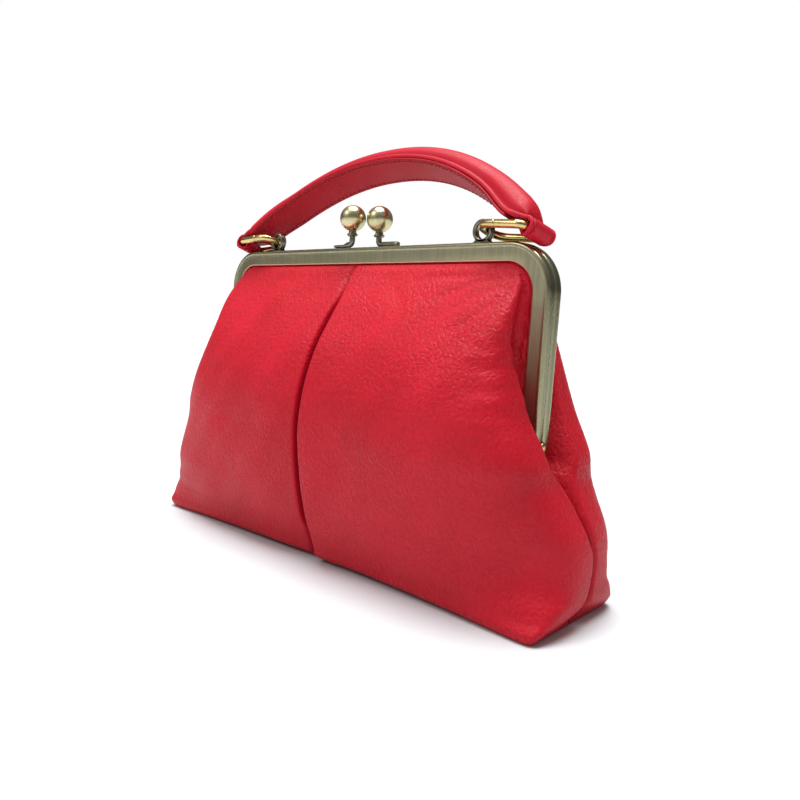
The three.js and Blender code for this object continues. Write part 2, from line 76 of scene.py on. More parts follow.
def addPiece(name, shape, material, replaces=(), sharp=40):
    points, quads, caps = shape["points"], shape["quads"], shape["caps"]
    if signedVolume(points, quads, caps) < 0:
        quads, caps = quads[:, ::-1], [cap[::-1] for cap in caps]
    mesh = bpy.data.meshes.new(name)
    mesh.from_pydata((points * millimetre).tolist(), [], quads.tolist() + [cap.tolist() for cap in caps])
    corner = np.empty(len(mesh.loops), np.int32)
    mesh.loops.foreach_get("vertex_index", corner)
    mesh.uv_layers.new(name="surface").data.foreach_set("uv", shape["uv"][corner].astype(np.float32).ravel())
    mesh.materials.append(material)
    mesh.shade_smooth()
    mesh.set_sharp_from_angle(angle=np.radians(sharp))
    mesh.update()
    piece = bpy.data.objects.new(name, mesh)
    bpy.context.scene.collection.objects.link(piece)
    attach(piece, "root")
    if replaces:
        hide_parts(*replaces)
    print("piece:", name, len(quads), "quads")
    return piece


# Values of a table at any level: cubic pieces whose slopes are the mean of the neighbours' slopes,
# held to three times the smaller one, so that nothing overshoots.
def tableCurve(levels, values, at):
    step = np.diff(levels)
    slope = np.diff(values) / step
    inner = (slope[:-1] * step[1:] + slope[1:] * step[:-1]) / (step[:-1] + step[1:])
    limit = 3 * np.minimum(np.abs(slope[:-1]), np.abs(slope[1:]))
    inner = np.where(slope[:-1] * slope[1:] > 0, np.clip(inner, -limit, limit), 0)
    tangent = np.concatenate([slope[:1], inner, slope[-1:]])
    k = np.clip(np.searchsorted(levels, at, side="right") - 1, 0, len(step) - 1)
    h = step[k]
    t = (at - levels[k]) / h
    return ((1 + 2 * t) * (1 - t) ** 2 * values[k] + t * (1 - t) ** 2 * h * tangent[k]
            + t * t * (3 - 2 * t) * values[k + 1] + t * t * (t - 1) * h * tangent[k + 1])


def smoothStep(x, low, high):
    t = np.clip((x - low) / (high - low), 0, 1)
    return t * t * (3 - 2 * t)


# A closed profile carried along a path: point = place + across * profile x + up * profile y.
def carried(places, across, up, profile, closed=False, profileUv=None):
    profile = np.broadcast_to(np.asarray(profile, float), (len(places),) + np.shape(profile)[-2:])
    points = places[:, None] + across[:, None] * profile[..., :1] + up[:, None] * profile[..., 1:]
    rows, columns = points.shape[:2]
    length = np.concatenate([[0], np.cumsum(np.linalg.norm(np.diff(places, axis=0), axis=1))])
    around = np.linalg.norm(np.diff(profile[rows // 2], axis=0), axis=1)
    around = np.concatenate([[0], np.cumsum(around)]) if profileUv is None else profileUv
    uv = np.stack(np.broadcast_arrays(around[None, :], length[:, None]), -1)
    caps = [] if closed else [np.arange(columns)[::-1], np.arange(columns) + (rows - 1) * columns]
    return asShape(points, gridQuads(rows, columns, closed, True), caps, uv)


# Round wire: a circle of the given radius, which may change along the path.
def wire(places, normal, radius, sides, closed=False):
    if closed:
        along = np.roll(places, -1, 0) - np.roll(places, 1, 0)
    else:
        along = np.gradient(places, axis=0)
    along /= np.linalg.norm(along, axis=1, keepdims=True)
    across = np.cross(normal, along)
    across /= np.linalg.norm(across, axis=1, keepdims=True)
    up = np.cross(along, across)
    angle = np.arange(sides) / sides * 2 * np.pi
    circle = np.stack([np.cos(angle), np.sin(angle)], -1)
    radius = np.broadcast_to(np.asarray(radius, float), (len(places),))
    return carried(places, across, up, circle[None] * radius[:, None, None], closed)


# Turned piece: a profile of radius and height spun about an axis through a place.
def turned(profile, place, axis, side, sides):
    radius, height = np.asarray(profile, float).T
    angle = np.arange(sides) / sides * 2 * np.pi
    axis, side = np.asarray(axis, float), np.asarray(side, float)
    spoke = np.cos(angle)[:, None] * side + np.sin(angle)[:, None] * np.cross(axis, side)
    points = place + height[:, None, None] * axis + radius[:, None, None] * spoke
    caps = [np.arange(sides)[::-1], np.arange(sides) + (len(radius) - 1) * sides]
    uv = np.stack(np.broadcast_arrays(angle[None, :], height[:, None]), -1)
    return asShape(points, gridQuads(len(radius), sides, False, True), caps, uv)


# Materials.
class Finish:
    def __init__(self, name):
        self.material = bpy.data.materials.new(name)
        self.material.use_nodes = True
        self.tree = self.material.node_tree
        self.shader = self.tree.nodes["Principled BSDF"]

    def node(self, kind, inputs=None, **settings):
        made = self.tree.nodes.new(kind)
        for key, value in settings.items():
            setattr(made, key, value)
        for key, value in (inputs or {}).items():
            self.put(made.inputs[key], value)
        return made

    def put(self, socket, value):
        if isinstance(value, bpy.types.NodeSocket):
            self.tree.links.new(value, socket)
        else:
            socket.default_value = value

    def shade(self, **values):
        for key, value in values.items():
            self.put(self.shader.inputs[key.replace("_", " ")], value)

    def math(self, operation, a, b=0.0):
        return self.node("ShaderNodeMath", {0: a, 1: b}, operation=operation).outputs[0]

    def vector(self, operation, inputs):
        return self.node("ShaderNodeVectorMath", inputs, operation=operation).outputs[0]

    def place(self, scale=(1, 1, 1)):
        coordinates = self.node("ShaderNodeTexCoord").outputs["Object"]
        return self.node("ShaderNodeMapping", {"Vector": coordinates, "Scale": scale}).outputs[0]

    def axis(self, vector, number):
        return self.node("ShaderNodeSeparateXYZ", {0: vector}).outputs[number]

    def surface(self):
        return self.axis(self.node("ShaderNodeTexCoord").outputs["UV"], 0)

    def cells(self, vector, scale, feature, **inputs):
        inputs = {"Vector": vector, "Scale": scale, **inputs}
        return self.node("ShaderNodeTexVoronoi", inputs, feature=feature).outputs["Distance"]

    def noise(self, vector, scale, detail=3.0, roughness=0.5, output="Fac"):
        inputs = {"Vector": vector, "Scale": scale, "Detail": detail, "Roughness": roughness}
        return self.node("ShaderNodeTexNoise", inputs).outputs[output]

    def ramp(self, factor, stops):
        made = self.node("ShaderNodeValToRGB", {"Fac": factor})
        for point, (position, colour) in zip(made.color_ramp.elements, stops):
            point.position = position
            point.color = (*colour, 1)
        return made.outputs[0]

    def range(self, value, low, high, toLow=0.0, toHigh=1.0):
        inputs = {"Value": value, 1: low, 2: high, 3: toLow, 4: toHigh}
        return self.node("ShaderNodeMapRange", inputs, clamp=True).outputs[0]

    def mix(self, factor, a, b):
        made = self.node("ShaderNodeMix", data_type="RGBA")
        for socket, value in zip((made.inputs[0], made.inputs[6], made.inputs[7]), (factor, a, b)):
            self.put(socket, (*value, 1) if isinstance(value, tuple) else value)
        return made.outputs[2]

    def bump(self, height, strength, distance):
        inputs = {"Height": height, "Strength": strength, "Distance": distance}
        return self.node("ShaderNodeBump", inputs).outputs[0]


# Pebbled leather: small rounded pebbles, and in patches larger flat ones with narrow grooves between,
# with soft uneven colour and painted shade in the grooves. Where a piece gives a fold share in its first
# surface coordinate, the leather has painted shade of the pleat there and is duller, and painted shade darkens
# it towards the bottom.
def leatherFinish(name, look):
    finish = Finish(name)
    place = finish.place(look["stretch"])
    drift = finish.noise(place, look["driftScale"], 2.0, 0.5, "Color")
    drift = finish.vector("SUBTRACT", {0: drift, 1: (0.5, 0.5, 0.5)})
    moved = finish.vector("SCALE", {0: drift, "Scale": look["drift"]})
    moved = finish.vector("ADD", {0: place, 1: moved})

    far = finish.cells(moved, look["cells"] * look["smallCells"], "SMOOTH_F1", Smoothness=look["soft"])
    small = finish.range(far, look["pebbleTop"], look["pebbleFoot"], 1.0, 0.0)
    gap = finish.cells(moved, look["cells"], "DISTANCE_TO_EDGE")
    large = finish.math("POWER", finish.range(gap, 0.0, look["grooveWide"]), look["dome"])
    patch = finish.range(finish.noise(place, look["patchScale"], 2.0), *look["patchEdge"])
    fine = finish.noise(place, look["cells"] * look["fineCells"], 3.0, 0.6)
    level = finish.axis(place, 2)
    calm = finish.range(level, look["calmFrom"], look["calmTo"], look["calmLow"], 1.0)
    patch = finish.math("MULTIPLY", patch, calm)
    grain = finish.math("MULTIPLY", large, finish.range(patch, 0, 1, look["calm"], 1.0))
    grain = finish.math("ADD", grain, finish.math("MULTIPLY", small, look["smallShare"]))
    grain = finish.math("ADD", grain, finish.math("MULTIPLY", fine, look["fineShare"]))
    cloud = finish.noise(place, look["cloudScale"], 3.0)
    colour = finish.mix(finish.range(cloud, *look["cloudEdge"]), look["dark"], look["light"])
    # Painted shade: the leather is darker in the grooves between the pebbles, less so towards the bottom.
    groove = finish.math("MULTIPLY", finish.range(small, 0.0, look["grooveTop"], look["groove"], 0.0), calm)
    colour = finish.mix(groove, colour, look["deep"])
    gloss = look["gloss"]
    if "fold" in look:
        # Crease lines: the borders of wide wavy cells, shown in patches.
        waved = finish.vector("SCALE", {0: drift, "Scale": look["creaseDrift"]})
        waved = finish.vector("ADD", {0: finish.place(look["creaseStretch"]), 1: waved})
        border = finish.cells(waved, look["creaseScale"], "DISTANCE_TO_EDGE")
        shown = finish.noise(place, look["creasePatch"], 1.0)
        shown = finish.range(shown, *look["creaseEdge"], 0.0, look["crease"])
        crease = finish.math("MULTIPLY", finish.range(border, 0.0, look["creaseWide"], 1.0, 0.0), shown)
        grain = finish.math("ADD", grain, crease)
        # Painted shade: the leather is darker towards the bottom, by lowShade.
        low = finish.range(level, look["calmFrom"], look["calmTo"], look["lowShade"], 0.0)
        colour = finish.mix(low, colour, look["deep"])
        # Painted shade in and beside the pleat, from the fold share; the leather there is also duller.
        share = finish.surface()
        paintedPleatShade = finish.range(share, *look["foldEdge"], 0.0, look["foldShare"])
        colour = finish.mix(paintedPleatShade, colour, look["fold"])
        gloss = finish.range(share, *look["dullEdge"], look["gloss"], 0.0)
    rough = finish.range(grain, *look["roughEdge"], look["roughLow"] + look["roughMore"], look["roughLow"])
    normal = finish.bump(grain, look["bump"], look["relief"])
    finish.shade(Base_Color=colour, Roughness=rough, Normal=normal, Specular_IOR_Level=gloss)
    return finish.material


plainLook = {
    "stretch": (1, 1, 0.8), "driftScale": 260, "drift": 0.0018,
    "cells": 430, "smallCells": 1.7, "fineCells": 3, "soft": 0.2, "pebbleTop": 0.1, "pebbleFoot": 0.75,
    "grooveWide": 0.22, "dome": 0.5, "patchScale": 45, "patchEdge": (0.38, 0.62), "calm": 0.3,
    "smallShare": 0.75, "fineShare": 0.15, "roughEdge": (0.2, 1.4), "roughMore": 0.14,
    "cloudScale": 26, "cloudEdge": (0.3, 0.7), "dark": (0.50, 0.004, 0.014), "light": (0.63, 0.006, 0.024),
    # deep is the colour of painted shade; groove is how much of it lies in the pebbles' grooves.
    "deep": (0.30, 0.003, 0.008), "groove": 0.30, "grooveTop": 0.6, "roughLow": 0.42, "gloss": 0.24,
    "bump": 0.55, "relief": 0.00034, "calmFrom": 0.01, "calmTo": 0.09, "calmLow": 0.45,
}
panelLook = dict(plainLook, **{
    # fold is the colour of the painted shade in the pleat.
    "fold": (0.07, 0.002, 0.004), "foldShare": 0.95, "foldEdge": (0.1, 0.9), "dullEdge": (0.05, 0.35),
    "crease": 0.7, "creaseScale": 55, "creaseStretch": (1, 1, 2.2), "creaseDrift": 0.012, "creaseWide": 0.035,
    # lowShade is how dark the painted shade towards the bottom is.
    "creasePatch": 28, "creaseEdge": (0.5, 0.6), "lowShade": 0.28,
})
handleLook = dict(plainLook, cells=620, relief=0.0001, bump=0.3, groove=0.1, roughLow=0.42, gloss=0.2,
                  light=(0.57, 0.008, 0.028), dark=(0.49, 0.006, 0.021))
liningLook = dict(plainLook, cells=1300, relief=0.00012, bump=0.4, groove=0.25, roughLow=0.5,
                  light=(0.42, 0.008, 0.018), dark=(0.34, 0.006, 0.013), gloss=0.2)
panelLeather = leatherFinish("panelLeather", panelLook)
handleLeather = leatherFinish("handleLeather", handleLook)
liningLeather = leatherFinish("liningLeather", liningLook)


# Aged brass: a worn ground with darker blotches and fine scratches.
def brassFinish(name, look):
    finish = Finish(name)
    place = finish.place()
    blotch = finish.noise(place, look["blotch"], 4.0, 0.6)
    stroke = finish.noise(finish.place(look["stroke"]), look["strokeScale"], 4.0, 0.65)
    colour = finish.mix(finish.range(blotch, 0.35, 0.7), look["base"], look["aged"])
    colour = finish.mix(finish.range(stroke, 0.35, 0.7, 0.0, look["streak"]), colour, look["bright"])
    rough = finish.math("ADD", finish.range(blotch, 0.3, 0.7, 0, 0.1), look["rough"])
    finish.shade(Base_Color=colour, Metallic=1.0, Roughness=rough)
    finish.shade(Normal=finish.bump(stroke, look["bump"], look["relief"]))
    return finish


ballBrass = brassFinish("polishedBrass", {
    "base": (0.62, 0.56, 0.32), "aged": (0.42, 0.36, 0.19), "bright": (0.68, 0.62, 0.37), "blotch": 150,
    "stroke": (1, 1, 0.3), "strokeScale": 700, "streak": 0.4, "rough": 0.24, "bump": 0.08, "relief": 0.0001,
}).material
ringBrass = brassFinish("ringBrass", {
    "base": (0.66, 0.52, 0.20), "aged": (0.48, 0.36, 0.14), "bright": (0.8, 0.68, 0.34), "blotch": 120,
    "stroke": (1, 1, 1), "strokeScale": 600, "streak": 0.4, "rough": 0.17, "bump": 0.08, "relief": 0.0001,
}).material
darkBrass = brassFinish("darkBrass", {
    "base": (0.23, 0.21, 0.155), "aged": (0.11, 0.10, 0.08), "bright": (0.42, 0.39, 0.28), "blotch": 260,
    "stroke": (1, 1, 0.4), "strokeScale": 900, "streak": 0.5, "rough": 0.28, "bump": 0.15, "relief": 0.0001,
}).material
frameFinish = brassFinish("frameBrass", {
    "base": (0.38, 0.35, 0.22), "aged": (0.31, 0.28, 0.17), "bright": (0.52, 0.48, 0.32), "blotch": 60,
    "stroke": (1, 1, 0.025), "strokeScale": 1500, "streak": 0.6, "rough": 0.34, "bump": 0.12, "relief": 0.00006,
})
threadLook = {"scale": 2500, "dark": (0.16, 0.006, 0.012), "light": (0.27, 0.010, 0.020), "rough": 0.7}
threadFinish = Finish("thread")
threadFinish.shade(Roughness=threadLook["rough"], Base_Color=threadFinish.ramp(
    threadFinish.noise(threadFinish.place(), threadLook["scale"]),
    [(0.3, threadLook["dark"]), (0.7, threadLook["light"])]))


# Panel sections, from the frame's mouth to the floor, as in the solid. front: depth at the middle;
# lobe, depth: widest point of the side roll; seam: half width of the side seam; full: fullness of the corner;
# twist: turn about Z in degrees; fold: half step of the pleat; pinch: hollow between the roll and the seam;
# flare: how much further out the ends of the front stand than its middle.
# Sections held by the frame take its inner line.
sectionColumns = ("level", "front", "lobe", "depth", "seam", "full", "twist", "fold", "pinch", "flare")
sections = [
    (131.8, 4.8, 76.0, 4.8, 0, 2.5, 0, 0.3, 0, 0),
    (130.4, 6.3, 84.0, 4.9, 0, 2.8, 0, 0.4, 0, 0),
    (126.5, 9.2, 88.8, 6.2, 0, 3.2, 0, 0.7, 0.2, 0),
    (121.2, 13.2, 90.6, 8.8, 0, 3.6, 0, 0.9, 0.8, 0),
    (114.0, 18.6, 90.8, 12.0, 0, 4.0, 0, 1.1, 2.0, 0),
    (106.0, 23.8, 91.2, 13.4, 0, 4.4, 0, 1.2, 3.2, 0),
    (98.0, 28.6, 92.4, 12.6, 0, 4.6, 0, 1.2, 4.0, 0),
    (90.0, 32.2, 94.6, 11.8, 0, 4.6, 0, 1.2, 4.2, 0),
    (82.0, 35.0, 97.4, 11.4, 0, 4.5, 0, 1.2, 4.0, 0),
    (74.0, 37.0, 100.8, 11.0, 0, 4.3, 0, 1.2, 3.2, 0),
    (67.0, 38.0, 104.8, 10.4, 0, 4.0, 0, 1.2, 2.2, 0),
    (60.0, 38.4, 108.6, 9.4, 0, 3.8, 0, 1.2, 1.2, 0),
    (52.0, 38.4, 110.8, 5.6, 97.0, 3.6, 0.8, 1.2, 0.4, 0),
    (44.0, 38.0, 114.6, 3.4, 102.5, 3.4, 1.6, 1.2, 0, 0),
    (36.0, 37.2, 118.4, 2.2, 106.5, 3.3, 2.3, 1.2, 0, 0),
    (28.0, 35.8, 120.3, 1.8, 109.3, 3.3, 3.0, 1.2, 0, 0),
    (20.0, 33.6, 120.9, 2.0, 110.8, 3.6, 3.0, 1.2, 0, 0),
    (13.0, 30.6, 120.9, 2.6, 111.5, 5.0, 2.2, 1.0, 0, 0.4),
    (7.0, 28.2, 119.2, 7.4, 112.2, 9.0, 1.7, 1.0, 0, 1.6),
    (3.0, 27.0, 116.6, 19.0, 113.6, 14.0, 1.4, 0.9, 0, 3.2),
    (0.0, 22.6, 115.0, 20.0, 114.8, 14.0, 1.3, 0.8, 0, 6.4),
]
metal = {"half": 100, "top": 140.2, "foot": 60.6, "radius": 19, "toe": 0.9, "face": 7.4, "depth": 4.5,
         "parting": 0.15, "wall": 0.8, "leg": 6.4, "rim": 1.2}
panelForm = {
    "rows": (16, 100, 26), "breaks": (131.8, 121.0, 14.0, 0.0), "columns": 108, "baseRows": 12,
    "baseCrowd": 1.6, "samples": 260, "crowd": 2.4, "turnSamples": 80,
    "wall": 2.0, "held": 60.0, "exitInset": 8.4, "exitDepth": 4.8, "seamGap": 0.2, "baseCorner": 1.2,
    "tuck": [(8.2, 4.0), (7.6, 3.3), (3.6, 3.3)],
    "seamTop": 52.0, "footRound": 3.0, "fade": 16.0, "under": 3.4, "lip": 1.2, "lipRun": 1.3, "dip": 2.8,
    "dipFade": 5.0, "foldScale": 1.5, "foldWall": 2.88, "heldWall": 1.7,
    "pleatAside": 3.6, "pleatFrom": 132.0, "pleatTo": 113.0, "pleatReach": 45.0,
    "shade": 3.4, "shadeWide": 2.8, "shadeLeast": 0.4, "roundLift": 0.4, "roundReach": 1.4, "floorSkin": 1.2,
    "waveDeep": 0.28, "shortShare": 0.6, "waveTop": (1.8, 14.8), "waveLow": (3, 14), "creaseTop": (0.4, 5),
    "pleatFree": 9,
}

# Soft waves of the leather: sin(x rate x + z rate z + start), the last two moved on for the other panel.
waves = [
    {"x": 0.13, "z": 0.05, "start": 1.1, "turn": 0},
    {"x": -0.03, "z": 0.11, "start": 0, "turn": 1},
    {"x": 0.27, "z": -0.21, "start": 0, "turn": 1},
]

# Creases of the leather: from and to as x, z; deep, wide; bend is the sideways sag at the middle.
creaseColumns = ("x0", "z0", "x1", "z1", "deep", "wide", "bend")
creaseWave = {"aside": 0.5, "turns": 9}
frontCreases = [
    (89, 127, 50, 116, 0.55, 1.5, -2),
    (90, 124, 56, 108, 0.45, 1.5, -2),
    (80, 128, 36, 124, 0.45, 1.4, -1),
    (90, 120, 66, 102, 0.45, 1.6, -1),
    (97, 104, 78, 101, 0.40, 2.2, 1),
    (98, 96, 80, 94, 0.40, 2.2, 1),
    (99, 88, 83, 85, 0.35, 2.2, 1),
    (101, 79, 84, 78, 0.30, 2.2, 1),
    (114, 31, 88, 27, 0.35, 1.8, 2),
    (116, 26, 80, 23, 0.40, 1.8, 2),
    (114, 20, 84, 18, 0.30, 1.8, -1),
    (-60, 128, -30, 120, 0.25, 2.4, 1),
    (20, 128, 46, 108, 0.25, 2.4, 2),
]


# Half width of the frame's outline drawn in by an inset, and the way outward there.
def frameOutline(level, inset):
    bend = metal["top"] - metal["radius"]
    inner = metal["radius"] - inset
    rise = np.clip((level - bend) / inner, 0, 1)
    run = np.sqrt(1 - rise ** 2)
    straight = metal["half"] - inset - metal["toe"] * (bend - level) / (bend - metal["foot"])
    arc = metal["half"] - metal["radius"] + inner * run
    return np.where(level <= bend, straight, arc), run, rise


# Section at a level: x = lobe s, y = depth + (front + flare s^2 - depth) (1 - s^n)^(1/n) from the middle to
# the roll, then an elliptic quarter into the seam; points are spread evenly from a start beside the pleat.
def halfSection(row, starts):
    s = 1 - (1 - np.linspace(0, 1, panelForm["samples"])) ** panelForm["crowd"]
    turn = np.linspace(0, np.pi / 2, panelForm["turnSamples"])[1:]
    spread = np.linspace(0, 1, panelForm["columns"])
    made = []
    for i, start in enumerate(starts):
        lobe, depth, seamX, seamY, n = (row[k][i] for k in ("lobe", "depth", "seam", "seamY", "full"))
        front = row["front"][i] + row["flare"][i] * s ** 2
        pinch = row["pinch"][i] * np.sin(2 * turn)
        x = np.concatenate([lobe * s, seamX + (lobe - seamX) * np.cos(turn) - pinch])
        y = np.concatenate([depth + (front - depth) * np.clip(1 - s ** n, 0, 1) ** (1 / n),
                            seamY + (depth - seamY) * (1 - np.sin(turn))])
        length = np.concatenate([[0], np.cumsum(np.hypot(np.diff(x), np.diff(y)))])
        at = start + (length[-1] - start) * spread
        made.append(np.stack([np.interp(at, length, x), np.interp(at, length, y)], -1))
    return np.array(made)


# Depth of the creases at x, z: each is a groove exp(-(distance / wide)^2) along a sagging line, thinned to
# its ends.
def creaseDepth(x, z, creases):
    depth = np.zeros_like(x)
    for crease in creases:
        c = dict(zip(creaseColumns, crease))
        runX, runZ = c["x1"] - c["x0"], c["z1"] - c["z0"]
        length = np.hypot(runX, runZ)
        along = ((x - c["x0"]) * runX + (z - c["z0"]) * runZ) / length ** 2
        aside = ((z - c["z0"]) * runX - (x - c["x0"]) * runZ) / length
        sag = c["bend"] * 4 * along * (1 - along)
        sag = sag + creaseWave["aside"] * np.sin(along * creaseWave["turns"] + c["x0"])
        ends = np.clip(along * (1 - along) * 4, 0, 1)
        depth += c["deep"] * ends * np.exp(-((aside - sag) / c["wide"]) ** 2)
    return depth


# One panel: a grid of sections from the frame's mouth to the floor and on to the bottom seam. At the middle
# the left half runs under a rolled lip of the right half. The inner skin lies a wall behind.
def panelShape(creases, turn):
    form = panelForm
    breaks = form["breaks"]
    level = np.concatenate([np.linspace(a, b, n, endpoint=False)
                            for a, b, n in zip(breaks[:-1], breaks[1:], form["rows"])] + [[0.0]])
    table = np.array(sections, float)[::-1]
    row = {name: tableCurve(table[:, 0], table[:, k], level) for k, name in enumerate(sectionColumns)}
    held = level >= form["held"]
    lower = table[:, 4] > 0
    footX = frameOutline(np.array([form["held"]]), form["exitInset"])[0]
    seamLevels = np.append(table[lower, 0], form["held"])
    seam = tableCurve(seamLevels, np.append(table[lower, 4], footX), np.minimum(level, form["held"]))
    row["seam"] = np.where(held, frameOutline(level, form["exitInset"])[0], seam)
    opened = smoothStep(level, form["seamTop"], form["held"])
    row["seamY"] = form["seamGap"] + (form["exitDepth"] - form["seamGap"]) * opened
    foot = 1 - smoothStep(level, 0, form["footRound"])
    row["seamY"] = row["seamY"] + (form["baseCorner"] - form["seamGap"]) * foot
    fold = row["fold"] * form["foldScale"]
    foldShare = (fold / fold.max())[:, None]
    lip = form["lip"] * foldShare[:, 0]

    left = halfSection(row, np.zeros(len(level)))
    right = halfSection(row, form["lipRun"] * lip)
    # The pleat's profile from the left half's end under the lip to the top of the lip.
    roll = np.radians([262, 235, 208, 180, 152, 126, 104])
    across = np.array([0.3, 0.65, 0.92, 1.0, 0.92, 0.6])
    lift = np.array([0.0, 0.0, 0.08, 0.30, 0.5, 0.56])
    foldX = np.concatenate([across[None] * form["under"] * (lip / form["lip"])[:, None],
                            lip[:, None] * (1 + np.cos(roll))[None]], 1)
    lipLow = fold - 2 * lip
    leftTop = -fold - form["dip"] * foldShare[:, 0]
    foldN = np.concatenate([leftTop[:, None] + lift[None] * (lipLow - leftTop)[:, None],
                            (fold - lip)[:, None] + lip[:, None] * np.sin(roll)[None]], 1)
    count = foldX.shape[1]
    plainX = np.linspace(0, 1, count + 2)[1:-1][None] * form["lipRun"] * lip[:, None]
    plainY = np.broadcast_to(row["front"][:, None], plainX.shape)
    x = np.concatenate([-left[:, ::-1, 0], plainX, right[..., 0]], 1)
    y = np.concatenate([left[:, ::-1, 1], plainY, right[..., 1]], 1)
    side = np.sign(x)
    side[:, :form["columns"]] = -1
    near = np.exp(-(x / form["fade"]) ** 2)
    step = np.where(side < 0, -1, 1) * fold[:, None] * near
    valley = form["dip"] * foldShare * np.exp(-(x / form["dipFade"]) ** 4)
    step = step - np.where(side < 0, valley, 0)
    outX, outY = x.copy(), y + step
    pleat = slice(form["columns"], form["columns"] + count)
    outX[:, pleat] = foldX
    outY[:, pleat] = row["front"][:, None] + foldN

    def twisted(px, py):
        angle = np.radians(row["twist"])[:, None]
        z = np.broadcast_to(level[:, None], px.shape)
        cos, sin = np.cos(angle), np.sin(angle)
        return np.stack([px * cos + py * sin, px * sin - py * cos, z], -1)

    # The pleat's line moves aside below the frame.
    drift = form["pleatAside"] * smoothStep(level, form["pleatFrom"], form["pleatTo"])[:, None]
    drift = drift * np.exp(-(x / form["pleatReach"]) ** 2)
    wall, plain = twisted(outX + drift, outY), twisted(x + drift, y)

    # Base: each edge point runs to its share of the bottom seam.
    def withBase(grid):
        edge = grid[-1]
        run = np.concatenate([[0], np.cumsum(np.linalg.norm(np.diff(plain[-1], axis=0), axis=1))])
        target = plain[-1][:1] + (plain[-1][-1:] - plain[-1][:1]) * (run / run[-1])[:, None]
        target = target + np.array([0, form["baseCorner"] - form["seamGap"], 0])
        stop = (np.linspace(0, 1, form["baseRows"] + 1)[1:] ** form["baseCrowd"])[:, None, None]
        base = edge[None] * (1 - stop) + target[None] * stop
        return np.concatenate([grid, base])

    wall, plain = withBase(wall), withBase(plain)
    rows, columns = plain.shape[:2]
    normal = np.cross(np.gradient(plain, axis=1), np.gradient(plain, axis=0))
    normal /= np.linalg.norm(normal, axis=-1, keepdims=True) + 1e-9
    normal *= np.sign(-normal[rows // 2, columns // 3, 1])
    normal[len(level):] = (0, 0, -1)
    # Soft unevenness and creases, kept off the frame and the seams.
    flatX, flatZ = plain[..., 0], plain[..., 2]
    below = breaks[0] - flatZ
    calm = smoothStep(below, *form["waveTop"]) * smoothStep(flatZ, *form["waveLow"])
    long, cross, short = (
        np.sin(flatX * w["x"] + flatZ * w["z"] + w["start"] + w["turn"] * turn) for w in waves)
    relief = form["waveDeep"] * (long * cross + form["shortShare"] * short) * calm
    relief = relief - creaseDepth(flatX, flatZ, creases) * smoothStep(below, *form["creaseTop"])
    wall = wall + normal * (relief * (1 - np.exp(-(flatX / form["pleatFree"]) ** 2)))[..., None]
    # The floor's edge is rounded: points near it are lifted.
    edgeRow = len(level) - 1
    apart = np.linalg.norm(plain - plain[edgeRow][None], axis=-1)
    wall[..., 2] += form["roundLift"] * np.exp(-(apart / form["roundReach"]))
    behind = form["wall"] + form["foldWall"] * near.mean(0)
    inner = plain - normal * behind[None, :, None]
    inner[..., 2] = np.maximum(inner[..., 2], form["floorSkin"])

    # Edge held in the channel, from the left arm's foot over the top to the right one.
    number = np.arange(rows * columns).reshape(rows, columns)
    last = int(held.sum())
    _, run, rise = frameOutline(level[:last], form["exitInset"])
    border = np.concatenate([number[:last, 0][::-1], number[0, 1:-1], number[:last, -1]])
    outward = np.concatenate([
        np.stack([-run, 0 * run, rise], -1)[::-1],
        np.tile([0.0, 0.0, 1.0], (columns - 2, 1)),
        np.stack([run, 0 * run, rise], -1)])
    start = plain.reshape(-1, 3)[border]
    tucked = []
    for inset, depth in form["tuck"]:
        moved = start + outward * (form["exitInset"] - inset)
        moved[:, 1] = -depth
        tucked.append(moved)
    tucked = np.array(tucked)
    tuckNumber = rows * columns + np.arange(tucked[..., 0].size).reshape(tucked.shape[:2])
    strip = np.concatenate([border[None], tuckNumber])
    stripQuads = np.stack([strip[:-1, :-1], strip[1:, :-1], strip[1:, 1:], strip[:-1, 1:]], -1).reshape(-1, 4)
    outerPoints = np.concatenate([wall.reshape(-1, 3), tucked.reshape(-1, 3)])
    tuckedBack = tucked + np.array([0, form["heldWall"], 0])
    innerPoints = np.concatenate([inner.reshape(-1, 3), tuckedBack.reshape(-1, 3)])
    total = len(outerPoints)
    sheet = np.concatenate([gridQuads(rows, columns), stripQuads])
    loop = np.concatenate([strip[-1], strip[-2:0:-1, -1], number[last - 1:, -1], number[-1, -2:0:-1],
                           number[last - 1:, 0][::-1], strip[1:-1, 0]])
    ahead = np.roll(loop, -1)
    rim = np.stack([loop, ahead, ahead + total, loop + total], -1)
    quads = np.concatenate([sheet, sheet[:, ::-1] + total, rim])
    points = np.concatenate([outerPoints, innerPoints])
    if turn:
        points = points * np.array([-1, -1, 1])
    # Surface coordinates: share of the pleat's painted shade, and the level.
    reach = form["shade"] * foldShare ** 2
    shade = np.where(x < 0, np.exp(-((x + reach) / form["shadeWide"]) ** 2), 0)
    shade = shade * np.maximum(foldShare ** 2, form["shadeLeast"])
    half = slice(form["columns"])
    shade[:, half] = np.maximum(shade[:, half], (x > -reach)[:, half])
    shade[:, pleat][:, :count // 2] = 1
    uv = np.zeros((len(points), 2))
    uv[:len(level) * columns, 0] = shade.ravel()
    uv[:, 1] = points[:, 2]
    return asShape(points, quads, (), uv)


addPiece("frontPanel", panelShape(frontCreases, 0), panelLeather, ["front_panel"], 60)
addPiece("backPanel", panelShape(frontCreases[4:], 2), panelLeather, ["back_panel"], 60)


# Beads of the frame's sheet, as inset and drop from the corner that each one follows.
frameEdges = {
    "parting": [(0.75, 0), (0.32, 0.25), (0.1, 0.7), (0, 1.3)],
    "upper": [(0.5, 0), (0.75, 0.1), (1.0, 0.1)],
    "lower": [(1.0, 0.1), (0.75, 0), (0.35, 0), (0.1, 0.12), (0, 0.35)],
    "rimFlat": 0.4,
}


